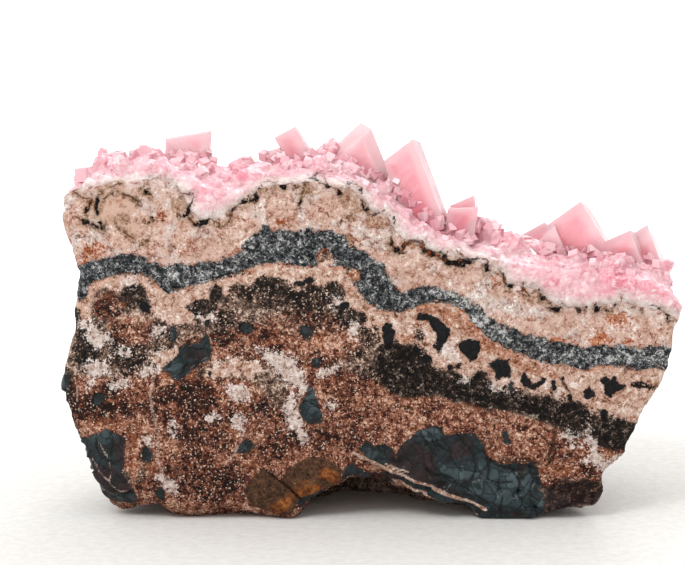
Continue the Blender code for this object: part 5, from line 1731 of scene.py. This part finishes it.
def build_floor():
    material, s, shader = new_material("pale_floor")
    place = s.place()
    mottle = s.noise(place, 0.5, 5.0, 0.7)
    # Painted light: the floor is painted greyer near the middle, and white with a faint glow further out, so
    # that it fades into the white room.
    far = s.step(s.vector("LENGTH", place)["Value"], 70.0, 330.0)
    tint = s.blend(s.step(mottle, 0.3, 0.7), colour("DEDCD8"), colour("E9E7E4"))
    s.feed(shader["Base Color"], s.blend(far, tint, colour("FFFFFF")))
    s.feed(shader["Emission Color"], s.blend(far, colour("000000"), colour("FFFFFF")))
    shader["Emission Strength"].default_value = 0.35
    shader["Roughness"].default_value = 0.9
    shader["Specular IOR Level"].default_value = 0.1
    s.feed(shader["Normal"], s.bump(mottle, 0.4, 0.3))
    mesh = bpy.data.meshes.new("floor")
    half = 12.0
    corners = [(-half, -half, 0), (half, -half, 0), (half, half, 0), (-half, half, 0)]
    mesh.from_pydata(corners, [], [(0, 1, 2, 3)])
    floor = new_piece("floor", mesh)
    mesh.materials.append(material)


def add_light(name, place, aim, size, power):
    lamp = bpy.data.lights.new(name, "AREA")
    lamp.energy = power
    lamp.shape = "DISK"
    lamp.size = size
    made = bpy.data.objects.new(name, lamp)
    bpy.context.scene.collection.objects.link(made)
    made.location = place
    made.rotation_euler = (Vector(aim) - Vector(place)).to_track_quat("-Z", "Y").to_euler()


def build_room():
    """A white room: bright overhead and behind, dimmer in front, and plain white where the camera sees it."""
    world = bpy.data.worlds.new("soft_white_room")
    bpy.context.scene.world = world
    world.use_nodes = True
    s = Sheet(world.node_tree)
    x, y, z = s.split(s.node("ShaderNodeTexCoord").outputs["Generated"])
    overhead = s.step(z, -0.1, 0.9, 0.50, 1.12)
    glow = s.add(overhead, s.step(y, -0.2, 0.8, 0.0, 0.35), s.step(x, -0.9, 0.9, 0.10, -0.06))
    shown = s.number(s.node("ShaderNodeLightPath").outputs["Is Camera Ray"], glow, 1.0)
    background = world.node_tree.nodes["Background"].inputs
    s.feed(background["Strength"], shown)
    background["Color"].default_value = (1.0, 1.0, 1.0, 1.0)


def build_camera():
    scene = bpy.context.scene
    lens = bpy.data.cameras.new("camera")
    lens.lens = CAMERA_LENS
    lens.sensor_width = CAMERA_SENSOR
    lens.clip_start = 0.01
    lens.clip_end = 50.0
    camera = bpy.data.objects.new("camera", lens)
    scene.collection.objects.link(camera)
    dip = math.radians(CAMERA_DIP)
    away = Vector((0.0, -math.cos(dip), math.sin(dip))) * CAMERA_AWAY
    camera.location = (Vector(CAMERA_AIM) + away) * MM
    camera.rotation_euler = (math.radians(90.0 - CAMERA_DIP), 0.0, 0.0)
    scene.camera = camera


def build_studio():
    """The floor and lights. The softboxes' places and sizes are in metres and their power in watts."""
    build_floor()
    build_room()
    add_light("key_softbox", (-0.35, -0.55, 0.75), (0, 0, 0.04), 0.35, 3.0)
    add_light("rim_softbox", (0.25, 0.6, 0.6), (0, 0, 0.05), 0.4, 2.0)
    bpy.context.scene.view_settings.view_transform = "Standard"
    build_camera()


def build_all():
    rock = build_rock(rock_material())
    druse = build_druse(druse_material(), rock)
    rose = crystal_material("rose_crystal", "F6A9B3", "F9BCC3", "EC8796", 14.0)
    blush = crystal_material("blush_crystal", "F9BDC4", "FBCFD3", "F3A1AC", 8.0)
    crystals = [build_crystal(node, blush, BLUSH_WEAR) for node in BLUSH_CRYSTALS]
    crystals += [build_crystal(node, rose, ROSE_WEAR) for node in ROSE_CRYSTALS]
    build_points(point_material(), druse, rock, crystals)
    build_studio()


build_all()
